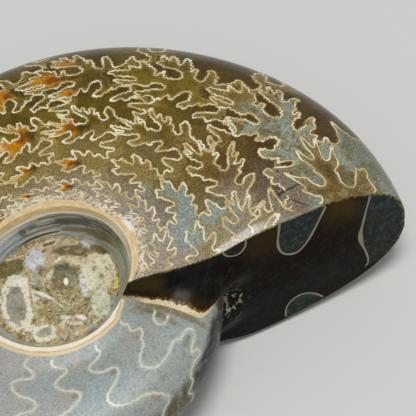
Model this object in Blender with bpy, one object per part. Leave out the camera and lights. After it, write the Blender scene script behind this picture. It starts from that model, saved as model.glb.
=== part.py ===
"""A polished ammonite lying on its flank, its last whorl ending in one ground face.

The shell is worked out in its own frame: the coil's axis is Z, the median plane is z = 0, the whorls shrink
counterclockwise seen from +Z, and the ground end looks towards -Y. It is then tipped to the way it rests.
All lengths are in metres and all angles in radians unless a name says degrees.
"""
import bpy
import bmesh
from math import cos, exp, hypot, log, pi, radians, sin, tan
from mathutils import Vector

# The spiral
keel_radius = 0.060          # radius of the keel where it crosses the +X axis
whorl_growth = 2.25          # the keel radius grows by this factor in one whorl
end_swell = 0.022            # share by which the keel swells beside the ground end
end_swell_at = 0.35
end_swell_width = 0.42

# The flank, from the umbilical rim (0) to the keel (1)
half_width = 0.01451         # half of the whorl's width on the +X axis, before the flank's own shape
width_growth = 0.71          # the width grows by this power of the keel's growth
flank_fullness = 0.8255
flank_power = 4.32
keel_bluntness = 0.413
hollow_depth = 0.107         # a shallow hollow that runs round outside the rim
hollow_at = 0.234
hollow_width = 0.137

# The umbilicus
rim_radius = 0.00958         # the rim's mean radius at no height; the rim widens as it rises
rim_shift_x = -0.0008
rim_shift_y = -0.0015
rim_oval = 0.00043
rim_flare = 0.35
foot_widening = 0.0007       # the wall's foot is this much wider than the rim's radius at no height
wall_hollow = 1.6            # above 1 the wall is hollow, like a bowl
floor_height = 0.0049        # the inner whorls' level above the median plane
coil_relief = 0.00035        # height of the inner whorls' ridges
coil_growth = 2.3
coil_relief_rise = 5.0       # how fast the relief grows away from the wall's foot, and fades at the centre
coil_relief_fade = 1.6
seam_groove = 0.0005         # the groove at the foot of the wall
seam_groove_width = 0.12

# The ground end, a plane that leans back, and the seam where it meets the earlier whorl
end_offset = -0.0141
end_yaw = 0.289
end_lean = 0.233
end_heel = 0.0006            # the plane curves back a little beside the umbilicus
end_heel_width = 0.12
under_side_turn = 0.36       # share of the lower flank over which the edge swings out to the plane
seam_degrees = -28.3
seam_rim_degrees = -33.0
seam_rim_width = 0.08
seam_keel_degrees = -11.3
seam_keel_share = 0.20       # outer share of the flank over which the seam sweeps to the keel
ramp_reach = 0.011           # the end runs down onto the earlier whorl in a hollow ramp this long
ramp_hollow = 2.6            # above 1 the ramp is hollow
ramp_rim_share = 0.15        # inner share of the flank over which the ramp stands up to a plain step

# How it rests
rest_up = Vector((0.04, -0.05, 1.0))   # the shell's own direction that ends up vertical
lapped_depth = 0.0004        # polished off the lower flank where it lies on the surface

# How finely it is divided
turn_steps = 92
ramp_steps = 8
ramp_crowding = 1.5          # above 1 the steps across the ground end lie closer near the seam
flank_steps = 12
flank_crowding = 1.7         # above 1 the flank's steps lie closer near the keel
wall_steps = 3
floor_steps = 7
sharp_edge_degrees = 35

# Where the ground end's edge is looked for, and how closely
end_search_degrees = (-75, 25)
end_halvings = 40
smallest_radius = 1e-4       # keeps the logarithm of the coil finite at its centre
merge_distance = 1e-6

# The finish
stone_colour = (0.16, 0.13, 0.07, 1)
stone_roughness = 0.2


def bump(value, centre, width):
    return exp(-((value - centre) / width) ** 2)


def ease(value):
    value = min(max(value, 0.0), 1.0)
    return value * value * (3 - 2 * value)


def keel(turn):
    """Radius of the keel; turn is the angle back from the +X axis, up to one whorl and a little more."""
    swell = 1 + end_swell * bump(turn, end_swell_at, end_swell_width)
    return keel_radius * whorl_growth ** (-turn / (2 * pi)) * swell


def flank_height(turn, share):
    """Height of the flank above the median plane."""
    width = half_width * whorl_growth ** (-width_growth * turn / (2 * pi))
    hollow = 1 - hollow_depth * bump(share, hollow_at, hollow_width)
    return width * flank_fullness * (1 - share ** flank_power) ** keel_bluntness * hollow


def umbilicus(turn):
    """The umbilicus is a little off the coil's axis and a little oval."""
    return rim_radius + rim_shift_x * cos(turn) + rim_shift_y * sin(turn) + rim_oval * cos(2 * turn)


def rim(turn):
    """Radius of the umbilical rim."""
    return umbilicus(turn) + rim_flare * flank_height(turn, 0.0)


def flank_point(turn, share, side):
    radius = rim(turn) + (keel(turn) - rim(turn)) * share
    return Vector((radius * cos(turn), radius * sin(turn), side * flank_height(turn, share)))


def end_excess(point, share, side):
    """How far a point stands in front of the ground end, along -Y."""
    lean = end_lean if side > 0 else end_lean * (1 - 2 * ease(share / under_side_turn))
    heel = end_heel * bump(share, 0.0, end_heel_width)
    return end_offset + tan(end_yaw) * point.x + lean * abs(point.z) + heel - point.y


def end_turn(share, side):
    """Angle at which the outer flank reaches the ground end, found by halving."""
    low, high = (radians(limit) for limit in end_search_degrees)
    for _ in range(end_halvings):
        middle = (low + high) / 2
        if end_excess(flank_point(middle, share, side), share, side) > 0:
            low = middle
        else:
            high = middle
    return (low + high) / 2


def seam_turn(share):
    """Angle, one whorl on, of the seam between the ground end and the earlier whorl."""
    sweep = max(0.0, (share - 1 + seam_keel_share) / seam_keel_share) ** 2
    degrees = seam_degrees + (seam_keel_degrees - seam_degrees) * sweep
    degrees += (seam_rim_degrees - seam_degrees) * bump(share, 0.0, seam_rim_width)
    return 2 * pi + radians(degrees)


def step_turn(step, start, seam):
    """Angle of a step: round the whorl to the seam, then across the ground end to where it began."""
    if step <= turn_steps:
        return start + (seam - start) * step / turn_steps
    return seam + (start + 2 * pi - seam) * (step - turn_steps) / ramp_steps


def ring_point(step, share, side):
    """A point of the ring at one share of the flank: round the whorl, then back across the ground end."""
    start, seam = end_turn(share, side), seam_turn(share)
    if step <= turn_steps:
        return flank_point(step_turn(step, start, seam), share, side)
    across = ((step - turn_steps) / ramp_steps) ** ramp_crowding
    outer, inner = flank_point(start, share, side), flank_point(seam, share, side)
    ahead = end_excess(inner, share, side) * ease(share / ramp_rim_share)
    straight = inner + Vector((0.0, ahead, 0.0))
    width = (outer - straight).length
    still_to_fall = max(0.0, 1 - across * width / min(ramp_reach, width)) ** ramp_hollow
    return straight.lerp(outer, across) - Vector((0.0, ahead * still_to_fall, 0.0))


def inner_point(step, depth, side):
    """A point inside the rim: depth runs from 0 at the rim to 1 at the wall's foot and 2 at the centre."""
    edge = ring_point(step, 0.0, side)
    start = end_turn(0.0, side)
    angle, edge_radius = step_turn(step, start, seam_turn(0.0)), hypot(edge.x, edge.y)
    even = start + 2 * pi * step / (turn_steps + ramp_steps)
    foot_radius = umbilicus(angle) + foot_widening
    floor = floor_height - seam_groove * bump(depth, 1.0, seam_groove_width)
    if depth <= 1:
        radius = edge_radius + (foot_radius - edge_radius) * depth
        height = floor + (abs(edge.z) - floor) * (1 - depth) ** wall_hollow
    else:
        radius = foot_radius * (2 - depth)
        angle += (even - angle) * ease(depth - 1)
        whorl = cos(angle - 2 * pi * log(max(radius, smallest_radius) / rim_radius) / log(coil_growth))
        fade = ease(coil_relief_fade * (2 - depth)) * ease(coil_relief_rise * (depth - 1))
        height = floor + coil_relief * whorl * fade
    return Vector((radius * cos(angle), radius * sin(angle), side * height))


def shell_point(step, row, side):
    """Rows count from the umbilicus's centre out to the keel."""
    if row < floor_steps:
        return inner_point(step, 2 - row / floor_steps, side)
    if row < floor_steps + wall_steps:
        return inner_point(step, 1 - (row - floor_steps) / wall_steps, side)
    along = (row - floor_steps - wall_steps) / flank_steps
    return ring_point(step, 1 - (1 - along) ** flank_crowding, side)


def resting_turn():
    """From the shell's own frame to the way it lies."""
    return rest_up.rotation_difference(Vector((0, 0, 1))).to_matrix().to_4x4()


def build_shell(material, collection):
    """One closed skin: a flat grid wrapped over both flanks, with its ends joined across the ground end."""
    columns = turn_steps + ramp_steps
    half_rows = floor_steps + wall_steps + flank_steps
    bm = bmesh.new()
    bmesh.ops.create_grid(bm, x_segments=columns, y_segments=2 * half_rows, size=1.0)
    for vertex in bm.verts:
        step = round((vertex.co.x + 1) / 2 * columns) % columns
        row = round((vertex.co.y + 1) / 2 * 2 * half_rows)
        side = 1 if row <= half_rows else -1
        vertex.co = shell_point(step, half_rows - abs(row - half_rows), side)
    bmesh.ops.remove_doubles(bm, verts=bm.verts, dist=merge_distance)
    bmesh.ops.recalc_face_normals(bm, faces=bm.faces)
    bmesh.ops.transform(bm, matrix=resting_turn(), verts=bm.verts)
    low = Vector([min(v.co[axis] for v in bm.verts) for axis in range(3)])
    high = Vector([max(v.co[axis] for v in bm.verts) for axis in range(3)])
    base = Vector(((low.x + high.x) / 2, (low.y + high.y) / 2, low.z + lapped_depth))
    bmesh.ops.translate(bm, vec=-base, verts=bm.verts)
    mesh = bpy.data.meshes.new("ammonite")
    bm.to_mesh(mesh)
    bm.free()
    mesh.materials.append(material)
    mesh.shade_smooth()
    mesh.set_sharp_from_angle(angle=radians(sharp_edge_degrees))
    shell = bpy.data.objects.new("ammonite", mesh)
    collection.objects.link(shell)
    return shell


def lap_underside(shell, collection):
    """Polishes the lower flank off level with the surface that it lies on."""
    size = 4 * keel_radius
    bpy.ops.mesh.primitive_cube_add(size=size, location=(0, 0, -size / 2))
    slab = bpy.context.active_object
    slab.name = "lapping_slab"
    for owner in slab.users_collection:
        owner.objects.unlink(slab)
    collection.objects.link(slab)
    slab.hide_render = True
    slab.display_type = "WIRE"
    lap = shell.modifiers.new("lap", "BOOLEAN")
    lap.operation = "DIFFERENCE"
    lap.object = slab


def stone_material():
    material = bpy.data.materials.new("polished_fossil")
    material.use_nodes = True
    shader = material.node_tree.nodes["Principled BSDF"]
    shader.inputs["Base Color"].default_value = stone_colour
    shader.inputs["Roughness"].default_value = stone_roughness
    shader.inputs["Metallic"].default_value = 0.0
    return material


def main():
    for item in list(bpy.data.objects):
        bpy.data.objects.remove(item, do_unlink=True)
    parts = bpy.data.collections.new("ammonite_fossil")
    cutters = bpy.data.collections.new("cutters")
    for collection in (parts, cutters):
        bpy.context.scene.collection.children.link(collection)
    shell = build_shell(stone_material(), parts)
    lap_underside(shell, cutters)


main()
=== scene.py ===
import bpy
import numpy as np
from math import cos, log, pi, radians, sin, tan
from mathutils import Matrix, Vector, noise
from mathutils.kdtree import KDTree


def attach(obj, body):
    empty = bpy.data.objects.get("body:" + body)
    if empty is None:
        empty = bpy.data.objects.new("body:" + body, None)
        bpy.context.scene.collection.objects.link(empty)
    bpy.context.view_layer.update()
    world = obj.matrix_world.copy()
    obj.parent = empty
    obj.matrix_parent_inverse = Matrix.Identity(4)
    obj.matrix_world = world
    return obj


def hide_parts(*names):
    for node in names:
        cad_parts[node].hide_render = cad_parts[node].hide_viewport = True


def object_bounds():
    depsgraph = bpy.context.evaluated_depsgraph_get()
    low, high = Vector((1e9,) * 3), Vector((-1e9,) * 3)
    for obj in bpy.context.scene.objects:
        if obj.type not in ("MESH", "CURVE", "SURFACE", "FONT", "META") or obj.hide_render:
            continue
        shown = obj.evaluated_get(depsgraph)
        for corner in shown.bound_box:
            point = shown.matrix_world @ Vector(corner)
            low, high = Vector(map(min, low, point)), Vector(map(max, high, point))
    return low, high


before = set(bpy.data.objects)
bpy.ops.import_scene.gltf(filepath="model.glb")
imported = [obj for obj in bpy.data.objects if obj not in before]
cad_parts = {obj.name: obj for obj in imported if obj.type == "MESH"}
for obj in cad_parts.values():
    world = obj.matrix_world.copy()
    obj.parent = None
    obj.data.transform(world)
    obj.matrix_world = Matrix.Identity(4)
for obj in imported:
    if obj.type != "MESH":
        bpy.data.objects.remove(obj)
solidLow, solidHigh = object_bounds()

# The coil is worked out in its own frame: its axis is Z, the median plane is z = 0, the whorls shrink
# counterclockwise from +X and the ground end looks towards -Y. Then it is tipped to the way it rests.
coil = {
    "keelRadius": 0.060, "whorlGrowth": 2.25, "endSwell": 0.022, "endSwellAt": 0.35, "endSwellWidth": 0.42,
    "halfWidth": 0.01451, "widthGrowth": 0.71, "flankFullness": 0.8255, "flankPower": 4.32,
    "keelBluntness": 0.413, "hollowDepth": 0.107, "hollowAt": 0.234, "hollowWidth": 0.137,
    "rimRadius": 0.00958, "rimShiftX": -0.0008, "rimShiftY": -0.0015, "rimOval": 0.00043, "rimFlare": 0.35,
    "footWidening": 0.0007, "wallHollow": 1.6, "floorHeight": 0.0049, "coilRelief": 0.00035,
    "coilGrowth": 2.3, "reliefFade": 1.6, "reliefRise": 5.0, "smallestRadius": 1e-4,
    "seamGroove": 0.0005, "grooveWidth": 0.12,
    "endOffset": -0.0141, "endYaw": 0.289, "endLean": 0.233, "endHeel": 0.0006, "endHeelWidth": 0.12,
    "endSearch": (-75, 25), "endHalvings": 40,      # degrees between which its edge is looked for
    "underSideTurn": 0.36, "seamDegrees": -28.3, "seamRimDegrees": -33.0, "seamRimWidth": 0.08,
    "seamKeelDegrees": -11.3, "seamKeelShare": 0.20,
    "rampReach": 0.011, "rampHollow": 2.6, "rampRimShare": 0.15,
    "wornDepth": 0.0008, "wornReach": 0.0036,      # the upper flank is worn down beside the ground end's edge
    "wornFrom": 0.20, "wornRise": 0.14, "wornTo": 0.50, "wornFade": 0.30,
    "restUp": (0.04, -0.05, 1.0),      # the coil's own direction that ends up vertical
    "lappedDepth": 0.0004,
}
grid = {
    "whorlColumns": 400, "endColumns": 56, "endCrowding": 1.5,
    "flankRows": {1: 96, -1: 34}, "wallRows": {1: 16, -1: 7}, "floorRows": {1: 30, -1: 12},
    "seenTurn": 0.62, "seenShare": 0.70,           # this share of the whorl gets this share of its columns
    "whorlCorner": (0.0005, 0.001, 0.0016, 0.0024, 0.0036),
    "endCorner": (0.004, 0.009, 0.015, 0.022, 0.032),
    "cornerPasses": 8,
}
flow = 0.228                                        # radians of turn in one unit of the suture's own drawing


def bump(value, centre, width):
    return np.exp(-((value - centre) / width) ** 2)


def ease(value):
    value = np.clip(value, 0.0, 1.0)
    return value * value * (3 - 2 * value)


def keel(turn):
    swell = 1 + coil["endSwell"] * bump(turn, coil["endSwellAt"], coil["endSwellWidth"])
    return coil["keelRadius"] * coil["whorlGrowth"] ** (-turn / (2 * pi)) * swell


def flankHeight(turn, share):
    width = coil["halfWidth"] * coil["whorlGrowth"] ** (-coil["widthGrowth"] * turn / (2 * pi))
    hollow = 1 - coil["hollowDepth"] * bump(share, coil["hollowAt"], coil["hollowWidth"])
    fall = np.clip(1 - np.clip(share, 0, 1) ** coil["flankPower"], 0, 1) ** coil["keelBluntness"]
    return width * coil["flankFullness"] * fall * hollow


def umbilicus(turn):
    shift = coil["rimShiftX"] * np.cos(turn) + coil["rimShiftY"] * np.sin(turn)
    return coil["rimRadius"] + shift + coil["rimOval"] * np.cos(2 * turn)


def rim(turn):
    return umbilicus(turn) + coil["rimFlare"] * flankHeight(turn, 0.0 * turn)


def flankPoint(turn, share, side):
    radius = rim(turn) + (keel(turn) - rim(turn)) * share
    return np.stack([radius * np.cos(turn), radius * np.sin(turn), side * flankHeight(turn, share)], -1)


def endExcess(point, share, side):
    under = coil["endLean"] * (1 - 2 * ease(share / coil["underSideTurn"]))
    lean = np.where(side > 0, coil["endLean"], under) * abs(point[..., 2])
    heel = coil["endHeel"] * bump(share, 0.0, coil["endHeelWidth"])
    return coil["endOffset"] + tan(coil["endYaw"]) * point[..., 0] + lean + heel - point[..., 1]


def endTurn(share, side):
    low, high = (np.full(np.shape(share), radians(limit)) for limit in coil["endSearch"])
    for _ in range(coil["endHalvings"]):
        middle = (low + high) / 2
        before = endExcess(flankPoint(middle, share, side), share, side) > 0
        low, high = np.where(before, middle, low), np.where(before, high, middle)
    return (low + high) / 2


shareTable = 1 - np.linspace(1, 0, 400) ** 2         # closer together near the keel
startTable = endTurn(shareTable, 1)


def skinPoint(turn, share, side):
    # the flank, worn down a little along the ground end's upper edge
    point = flankPoint(turn, share, side)
    away = (turn - np.interp(share, shareTable, startTable)) * np.hypot(point[..., 0], point[..., 1])
    worn = np.clip(1 - away / coil["wornReach"], 0, 1) ** 2 * coil["wornDepth"] * (np.asarray(side) > 0)
    fades = 1 - ease((share - coil["wornTo"]) / coil["wornFade"])
    worn = worn * ease((share - coil["wornFrom"]) / coil["wornRise"]) * fades
    point[..., 2] -= worn
    point[..., 1] -= worn * coil["endLean"]
    return point


def seamTurn(share):
    outer = np.maximum(0.0, (share - 1 + coil["seamKeelShare"]) / coil["seamKeelShare"]) ** 2
    inner = bump(share, 0.0, coil["seamRimWidth"])
    degrees = coil["seamDegrees"] + (coil["seamKeelDegrees"] - coil["seamDegrees"]) * outer
    degrees = degrees + (coil["seamRimDegrees"] - coil["seamDegrees"]) * inner
    return 2 * pi + np.radians(degrees)


def wayTurn(way, start, seam):
    # way runs 0 to 1 round the whorl and 1 to 2 across the ground end
    return np.where(way <= 1, start + (seam - start) * way, seam + (start + 2 * pi - seam) * (way - 1))


def ringPoint(way, share, side):
    start, seam = endTurn(share, side), seamTurn(share)
    whorl = skinPoint(wayTurn(np.minimum(way, 1), start, seam), share, side)
    outer, inner = skinPoint(start, share, side), skinPoint(seam, share, side)
    ahead = (endExcess(inner, share, side) * ease(share / coil["rampRimShare"]))[..., None]
    across = np.clip(way - 1, 0, 1)[..., None]
    forward = np.array([0.0, 1.0, 0.0])
    straight = inner + forward * ahead
    width = np.linalg.norm(outer - straight, axis=-1, keepdims=True)
    reach = np.minimum(coil["rampReach"], width)
    stillToFall = np.clip(1 - across * width / reach, 0, 1) ** coil["rampHollow"]
    face = straight * (1 - across) + outer * across - forward * ahead * stillToFall
    return np.where((way <= 1)[..., None], whorl, face)


# marks on the upper umbilicus's floor: place and half size in mm, degrees turned, softness, colour, strength,
# and how far each stands up or is sunk in mm
floorMarks = [
    (0.5, 6.9, 4.5, 1.6, 0, 0.3, "bfb38c", 0.8, 0.04), (-8.0, 4.2, 2.9, 1.8, 8, 0.15, "6d6334", 0.95, -0.05),
    (-7.6, 6.05, 2.6, 0.2, 8, 0.3, "cfc294", 0.8, 0.03), (-8.3, 7.2, 2.0, 0.8, 25, 0.4, "a8acac", 0.8, 0.0),
    (-3.5, 5.1, 1.9, 2.3, -20, 0.25, "d2d2d2", 0.95, 0.06),
    (-2.8, 3.0, 0.8, 0.6, -30, 0.4, "7a6a48", 0.8, -0.05),
    (-0.9, 5.0, 1.1, 1.8, 0, 0.4, "cdb28e", 0.85, 0.03),
    (-2.0, 6.3, 0.35, 0.5, 0, 0.4, "7a5a34", 0.8, -0.05),
    (2.6, 5.5, 3.2, 1.25, -8, 0.2, "6d6444", 0.9, -0.12), (2.0, 5.9, 0.5, 0.4, 0, 0.4, "b5a67c", 0.7, 0.0),
    (3.9, 5.2, 0.6, 0.4, -20, 0.4, "a89868", 0.7, 0.0), (2.2, 3.9, 2.4, 0.6, -6, 0.35, "c6b78e", 0.8, 0.03),
    (5.9, 6.3, 1.6, 0.8, -30, 0.35, "c9c8c0", 0.8, 0.08),
    (7.3, 5.0, 1.6, 0.6, -38, 0.25, "6a5a34", 0.9, -0.15),
    (8.5, 3.4, 0.8, 1.1, 15, 0.25, "5a5236", 0.85, -0.15), (6.9, 0.2, 3.0, 3.9, 0, 0.1, "dcd3b0", 1.0, 0.26),
    (3.7, 3.1, 2.2, 0.9, -10, 0.2, "dccfa8", 0.9, 0.14),
    (6.7, -5.2, 1.6, 2.9, -8, 0.15, "d8d6b8", 0.95, 0.2), (8.0, 2.4, 1.6, 1.4, 0, 0.15, "e4dcbc", 0.9, 0.18),
    (5.2, -0.6, 0.9, 2.6, 4, 0.4, "ece4cc", 0.7, 0.0), (4.1, -1.9, 0.4, 1.9, 6, 0.3, "e0e2e2", 0.9, 0.08),
    (1.0, 0.7, 2.2, 2.7, 0, 0.18, "77745a", 0.9, -0.12), (0.9, 2.6, 1.3, 0.8, 0, 0.4, "5c5c44", 0.8, -0.04),
    (0.2, -0.6, 1.3, 0.9, 20, 0.4, "8f6f3e", 0.7, 0.0), (2.6, -0.6, 0.7, 1.4, 10, 0.35, "9d9a7a", 0.8, 0.0),
    (-1.4, 1.4, 0.45, 1.3, -35, 0.3, "d6ceb2", 0.85, 0.08),
    (-3.6, 0.8, 1.2, 1.5, 25, 0.4, "b5ab98", 0.8, 0.05),
    (-3.9, -0.6, 0.4, 0.9, 35, 0.4, "6f6648", 0.7, -0.05),
    (-7.0, -2.8, 3.0, 5.3, 4, 0.09, "ece4cc", 1.0, 0.2),
    (-7.4, -3.2, 1.75, 3.9, 6, 0.12, "a39e88", 0.96, -0.12),
    (-6.6, 1.0, 1.7, 1.0, 0, 0.2, "f2ead6", 0.9, 0.06), (-7.4, -0.6, 0.8, 0.7, 0, 0.4, "8a8a7c", 0.8, -0.06),
    (-8.3, -3.4, 0.7, 0.6, 20, 0.4, "8a8f8e", 0.8, -0.05),
    (-7.0, -4.3, 0.8, 0.5, -20, 0.4, "8d7f58", 0.7, -0.04),
    (-4.75, -2.5, 0.2, 3.3, 4, 0.35, "b59a62", 0.8, 0.0),
    (-5.3, -7.8, 2.4, 0.55, -42, 0.15, "ece4cc", 0.95, 0.14),
    (-3.1, -9.3, 2.1, 1.4, 0, 0.12, "ece6cf", 1.0, 0.14),
    (-3.1, -9.2, 1.35, 0.75, 0, 0.18, "a5a284", 0.95, -0.08),
    (-2.7, -2.2, 1.9, 0.3, -37, 0.3, "f4f2ea", 0.95, 0.1),
    (-0.3, -4.4, 1.3, 0.12, -42, 0.4, "e4e0cc", 0.8, 0.05),
    (0.9, -7.3, 1.3, 0.36, -15, 0.3, "ece8d6", 0.95, 0.1),
    (3.2, -7.7, 1.0, 0.42, -25, 0.3, "ece8d6", 0.95, 0.1),
    (0.2, -8.2, 0.8, 0.3, 30, 0.3, "e0dcc6", 0.8, 0.06),
    (2.2, -8.6, 1.2, 0.25, -10, 0.4, "d5d2bc", 0.8, 0.04),
    (1.35, -0.35, 0.36, 0.72, 0, 0.25, "fff6e2", 0.98, 0.1),
    (0.4, 4.0, 0.65, 0.25, 20, 0.3, "f6ecd8", 0.9, 0.08),
    (-2.2, -7.2, 0.35, 1.5, 12, 0.4, "b58f44", 0.8, 0.0),
    (-2.9, -5.2, 0.3, 1.3, -10, 0.5, "b59a5c", 0.6, 0.0),
    (-0.6, -9.4, 0.7, 0.5, 30, 0.4, "b8924a", 0.8, 0.0), (-4.2, -4.8, 0.5, 1.9, 0, 0.5, "b8ac7c", 0.6, 0.0),
    (3.6, -10.0, 0.4, 1.2, -10, 0.4, "c08c4c", 0.85, 0.0),
    (4.6, -10.0, 0.5, 1.2, -10, 0.4, "8f968c", 0.8, 0.0),
    (-1.1, 7.75, 1.8, 0.75, 12, 0.2, "dacfa6", 0.9, 0.12),
    (-1.1, 7.75, 1.2, 0.36, 12, 0.25, "5a5230", 0.95, -0.35),
    (9.8, -1.6, 0.3, 0.9, 0, 0.35, "e8d070", 0.85, 0.06),
    (9.3, -3.0, 0.9, 0.22, 10, 0.35, "e8d070", 0.85, 0.06),
    (8.6, -6.4, 0.5, 2.2, -14, 0.35, "90998f", 0.85, 0.0),
    (7.7, -7.6, 0.3, 1.6, -14, 0.35, "c8ccbc", 0.7, 0.0),
    (6.3, 1.2, 0.35, 0.5, -20, 0.3, "8d876f", 0.8, -0.15),
    (7.4, -0.7, 0.4, 0.5, 30, 0.3, "9a947a", 0.8, -0.15),
    (7.0, -2.6, 0.15, 0.5, 10, 0.3, "8d876f", 0.7, -0.1), (8.3, 0.9, 0.2, 0.3, 10, 0.3, "8d876f", 0.7, -0.1),
]
floorRelief = {
    "lumps": 0.00020, "lumpScale": 0.42, "lumpLayer": 7.0, "octaves": 3,
    "grit": 0.00003, "gritScale": 1.9, "gritLayer": 3.0,
    "markFray": 0.12, "markReach": 1.12, "markEdge": 0.3,
    "rise": 4.0, "fade": 12.0,                      # how fast it grows from the wall's foot, and fades
    "shelf": 0.00022, "shelfAt": 0.60, "shelfWidth": 0.055, "shelfMiddle": 95, "shelfSpread": 32,
}


def floorHeight(x, y, side):
    # lumps and grit, and the height of each mark
    r = floorRelief
    lumpPlaces = [Vector((u, v, r["lumpLayer"] * side)) * r["lumpScale"] for u, v in zip(x, y)]
    lumps = np.array([noise.fractal(spot, 1.0, 2.0, r["octaves"]) for spot in lumpPlaces])
    gritPlaces = [Vector((u, v, r["gritLayer"] * side)) * r["gritScale"] for u, v in zip(x, y)]
    grit = np.array([noise.noise(spot) for spot in gritPlaces])
    height = lumps * r["lumps"] + grit * r["grit"]
    for centreX, centreY, sizeX, sizeY, turned, _, _, _, raised in (floorMarks if side > 0 else ()):
        c, s = cos(radians(turned)), sin(radians(turned))
        u, v = x - centreX, y - centreY
        away = np.hypot((c * u + s * v) / sizeX, (c * v - s * u) / sizeY) + r["markFray"] * grit
        height = height + raised / 1000 * ease((r["markReach"] - away) / r["markEdge"])
    return height


def innerPoint(way, depth, side, even):
    # depth 0 is the rim, 1 the foot of the wall, 2 the centre
    r = floorRelief
    rimShare = np.zeros_like(way)
    edge = ringPoint(way, rimShare, side)
    start = endTurn(rimShare, side)
    angle = wayTurn(way, start, seamTurn(rimShare))
    edgeRadius = np.hypot(edge[..., 0], edge[..., 1])
    footRadius = umbilicus(angle) + coil["footWidening"]
    floor = coil["floorHeight"] - coil["seamGroove"] * bump(depth, 1.0, coil["grooveWidth"])
    if depth <= 1:
        radius = edgeRadius + (footRadius - edgeRadius) * depth
        height = floor + (abs(edge[..., 2]) - floor) * (1 - depth) ** coil["wallHollow"]
        shelf = bump(np.degrees(np.arctan2(edge[..., 1], edge[..., 0])), r["shelfMiddle"], r["shelfSpread"])
        height = height + r["shelf"] * shelf * bump(depth, r["shelfAt"], r["shelfWidth"])
    else:
        radius = footRadius * (2 - depth)
        angle = angle + (start + 2 * pi * even - angle) * ease(depth - 1)
        inCoils = np.log(np.maximum(radius, coil["smallestRadius"]) / coil["rimRadius"])
        whorl = np.cos(angle - 2 * pi * inCoils / log(coil["coilGrowth"]))
        fade = ease(coil["reliefFade"] * (2 - depth))
        height = floor + coil["coilRelief"] * whorl * fade * ease(coil["reliefRise"] * (depth - 1))
        relief = floorHeight(radius * np.cos(angle) * 1000, radius * np.sin(angle) * 1000, side)
        height = height + relief * ease(r["rise"] * (depth - 1)) * ease(r["fade"] * (2 - depth))
    return np.stack([radius * np.cos(angle), radius * np.sin(angle), side * height], -1)


def columnWays():
    inner = np.linspace(grid["whorlCorner"][-1], 1 - grid["whorlCorner"][-1], grid["whorlColumns"])
    even = np.linspace(0, 1, grid["whorlColumns"])
    dense, share = grid["seenTurn"], grid["seenShare"]
    spread = np.where(even < share, even / share * dense, dense + (even - share) / (1 - share) * (1 - dense))
    whorl = inner[0] + (inner[-1] - inner[0]) * spread
    corner, endCorner = np.array(grid["whorlCorner"][:-1]), np.array(grid["endCorner"])
    across = np.linspace(0, 1, grid["endColumns"]) ** grid["endCrowding"]
    across = endCorner[-1] + (1 - 2 * endCorner[-1]) * across
    return np.concatenate([[0], corner, whorl, 1 - corner[::-1], [1],
                           1 + endCorner[:-1], 1 + across, 2 - endCorner[:-1][::-1], [2]])


def shareRows(count):
    # spaced evenly over the flank, each step in proportion to its radius
    share = 1 - np.linspace(1, 0, 4000) ** 2
    point = flankPoint(np.full(share.shape, 1.0), share, 1)
    step = np.linalg.norm(np.diff(point, axis=0), axis=1) / np.hypot(point[1:, 0], point[1:, 1])
    along = np.concatenate([[0], np.cumsum(step)])
    return np.interp(np.linspace(0, along[-1], count + 1), along, share)


def tippingMatrix():
    return np.array(Vector(coil["restUp"]).rotation_difference(Vector((0, 0, 1))).to_matrix())


def coilGrid():
    # rows run from the upper umbilicus's centre over the keel to the lower one's
    ways = columnWays()
    even = np.linspace(0, 1, len(ways))
    rows = []
    for side in (1, -1):
        floorRows, wallRows = grid["floorRows"][side], grid["wallRows"][side]
        half = [("inner", 2 - i / floorRows) for i in range(floorRows)]
        half += [("inner", 1 - i / wallRows) for i in range(wallRows)]
        half += [("ring", share) for share in shareRows(grid["flankRows"][side])]
        rows.append([(kind, value, side) for kind, value in half])
    rows = rows[0] + rows[1][:-1][::-1]
    place = np.zeros((len(ways), len(rows), 3))
    for j, (kind, value, side) in enumerate(rows):
        if kind == "ring":
            place[:, j] = ringPoint(ways, np.full(len(ways), value), side)
        else:
            place[:, j] = innerPoint(ways, value, side, even)
    loop = place[:-1]
    corners = np.zeros(len(loop), bool)
    reach = len(grid["whorlCorner"])
    seam = int(np.argmin(abs(ways - 1)))
    for i in range(-reach, reach + 1):
        corners[i] = corners[(seam + i) % len(loop)] = True
    for _ in range(grid["cornerPasses"]):            # rounds the two edges of the ground end a little
        soft = (np.roll(loop, 1, 0) + 2 * loop + np.roll(loop, -1, 0)) / 4
        loop[corners] = soft[corners]
    place[:-1], place[-1] = loop, loop[0]
    return ways, rows, place


print("working out the coil")
ways, rows, place = coilGrid()
tipping = tippingMatrix()
tipped = place @ tipping.T
low, high = tipped.reshape(-1, 3).min(0), tipped.reshape(-1, 3).max(0)
base = np.array([(low[0] + high[0]) / 2, (low[1] + high[1]) / 2, low[2] + coil["lappedDepth"]])


def toRest(point):
    return np.asarray(point) @ tipping.T - base


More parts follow.
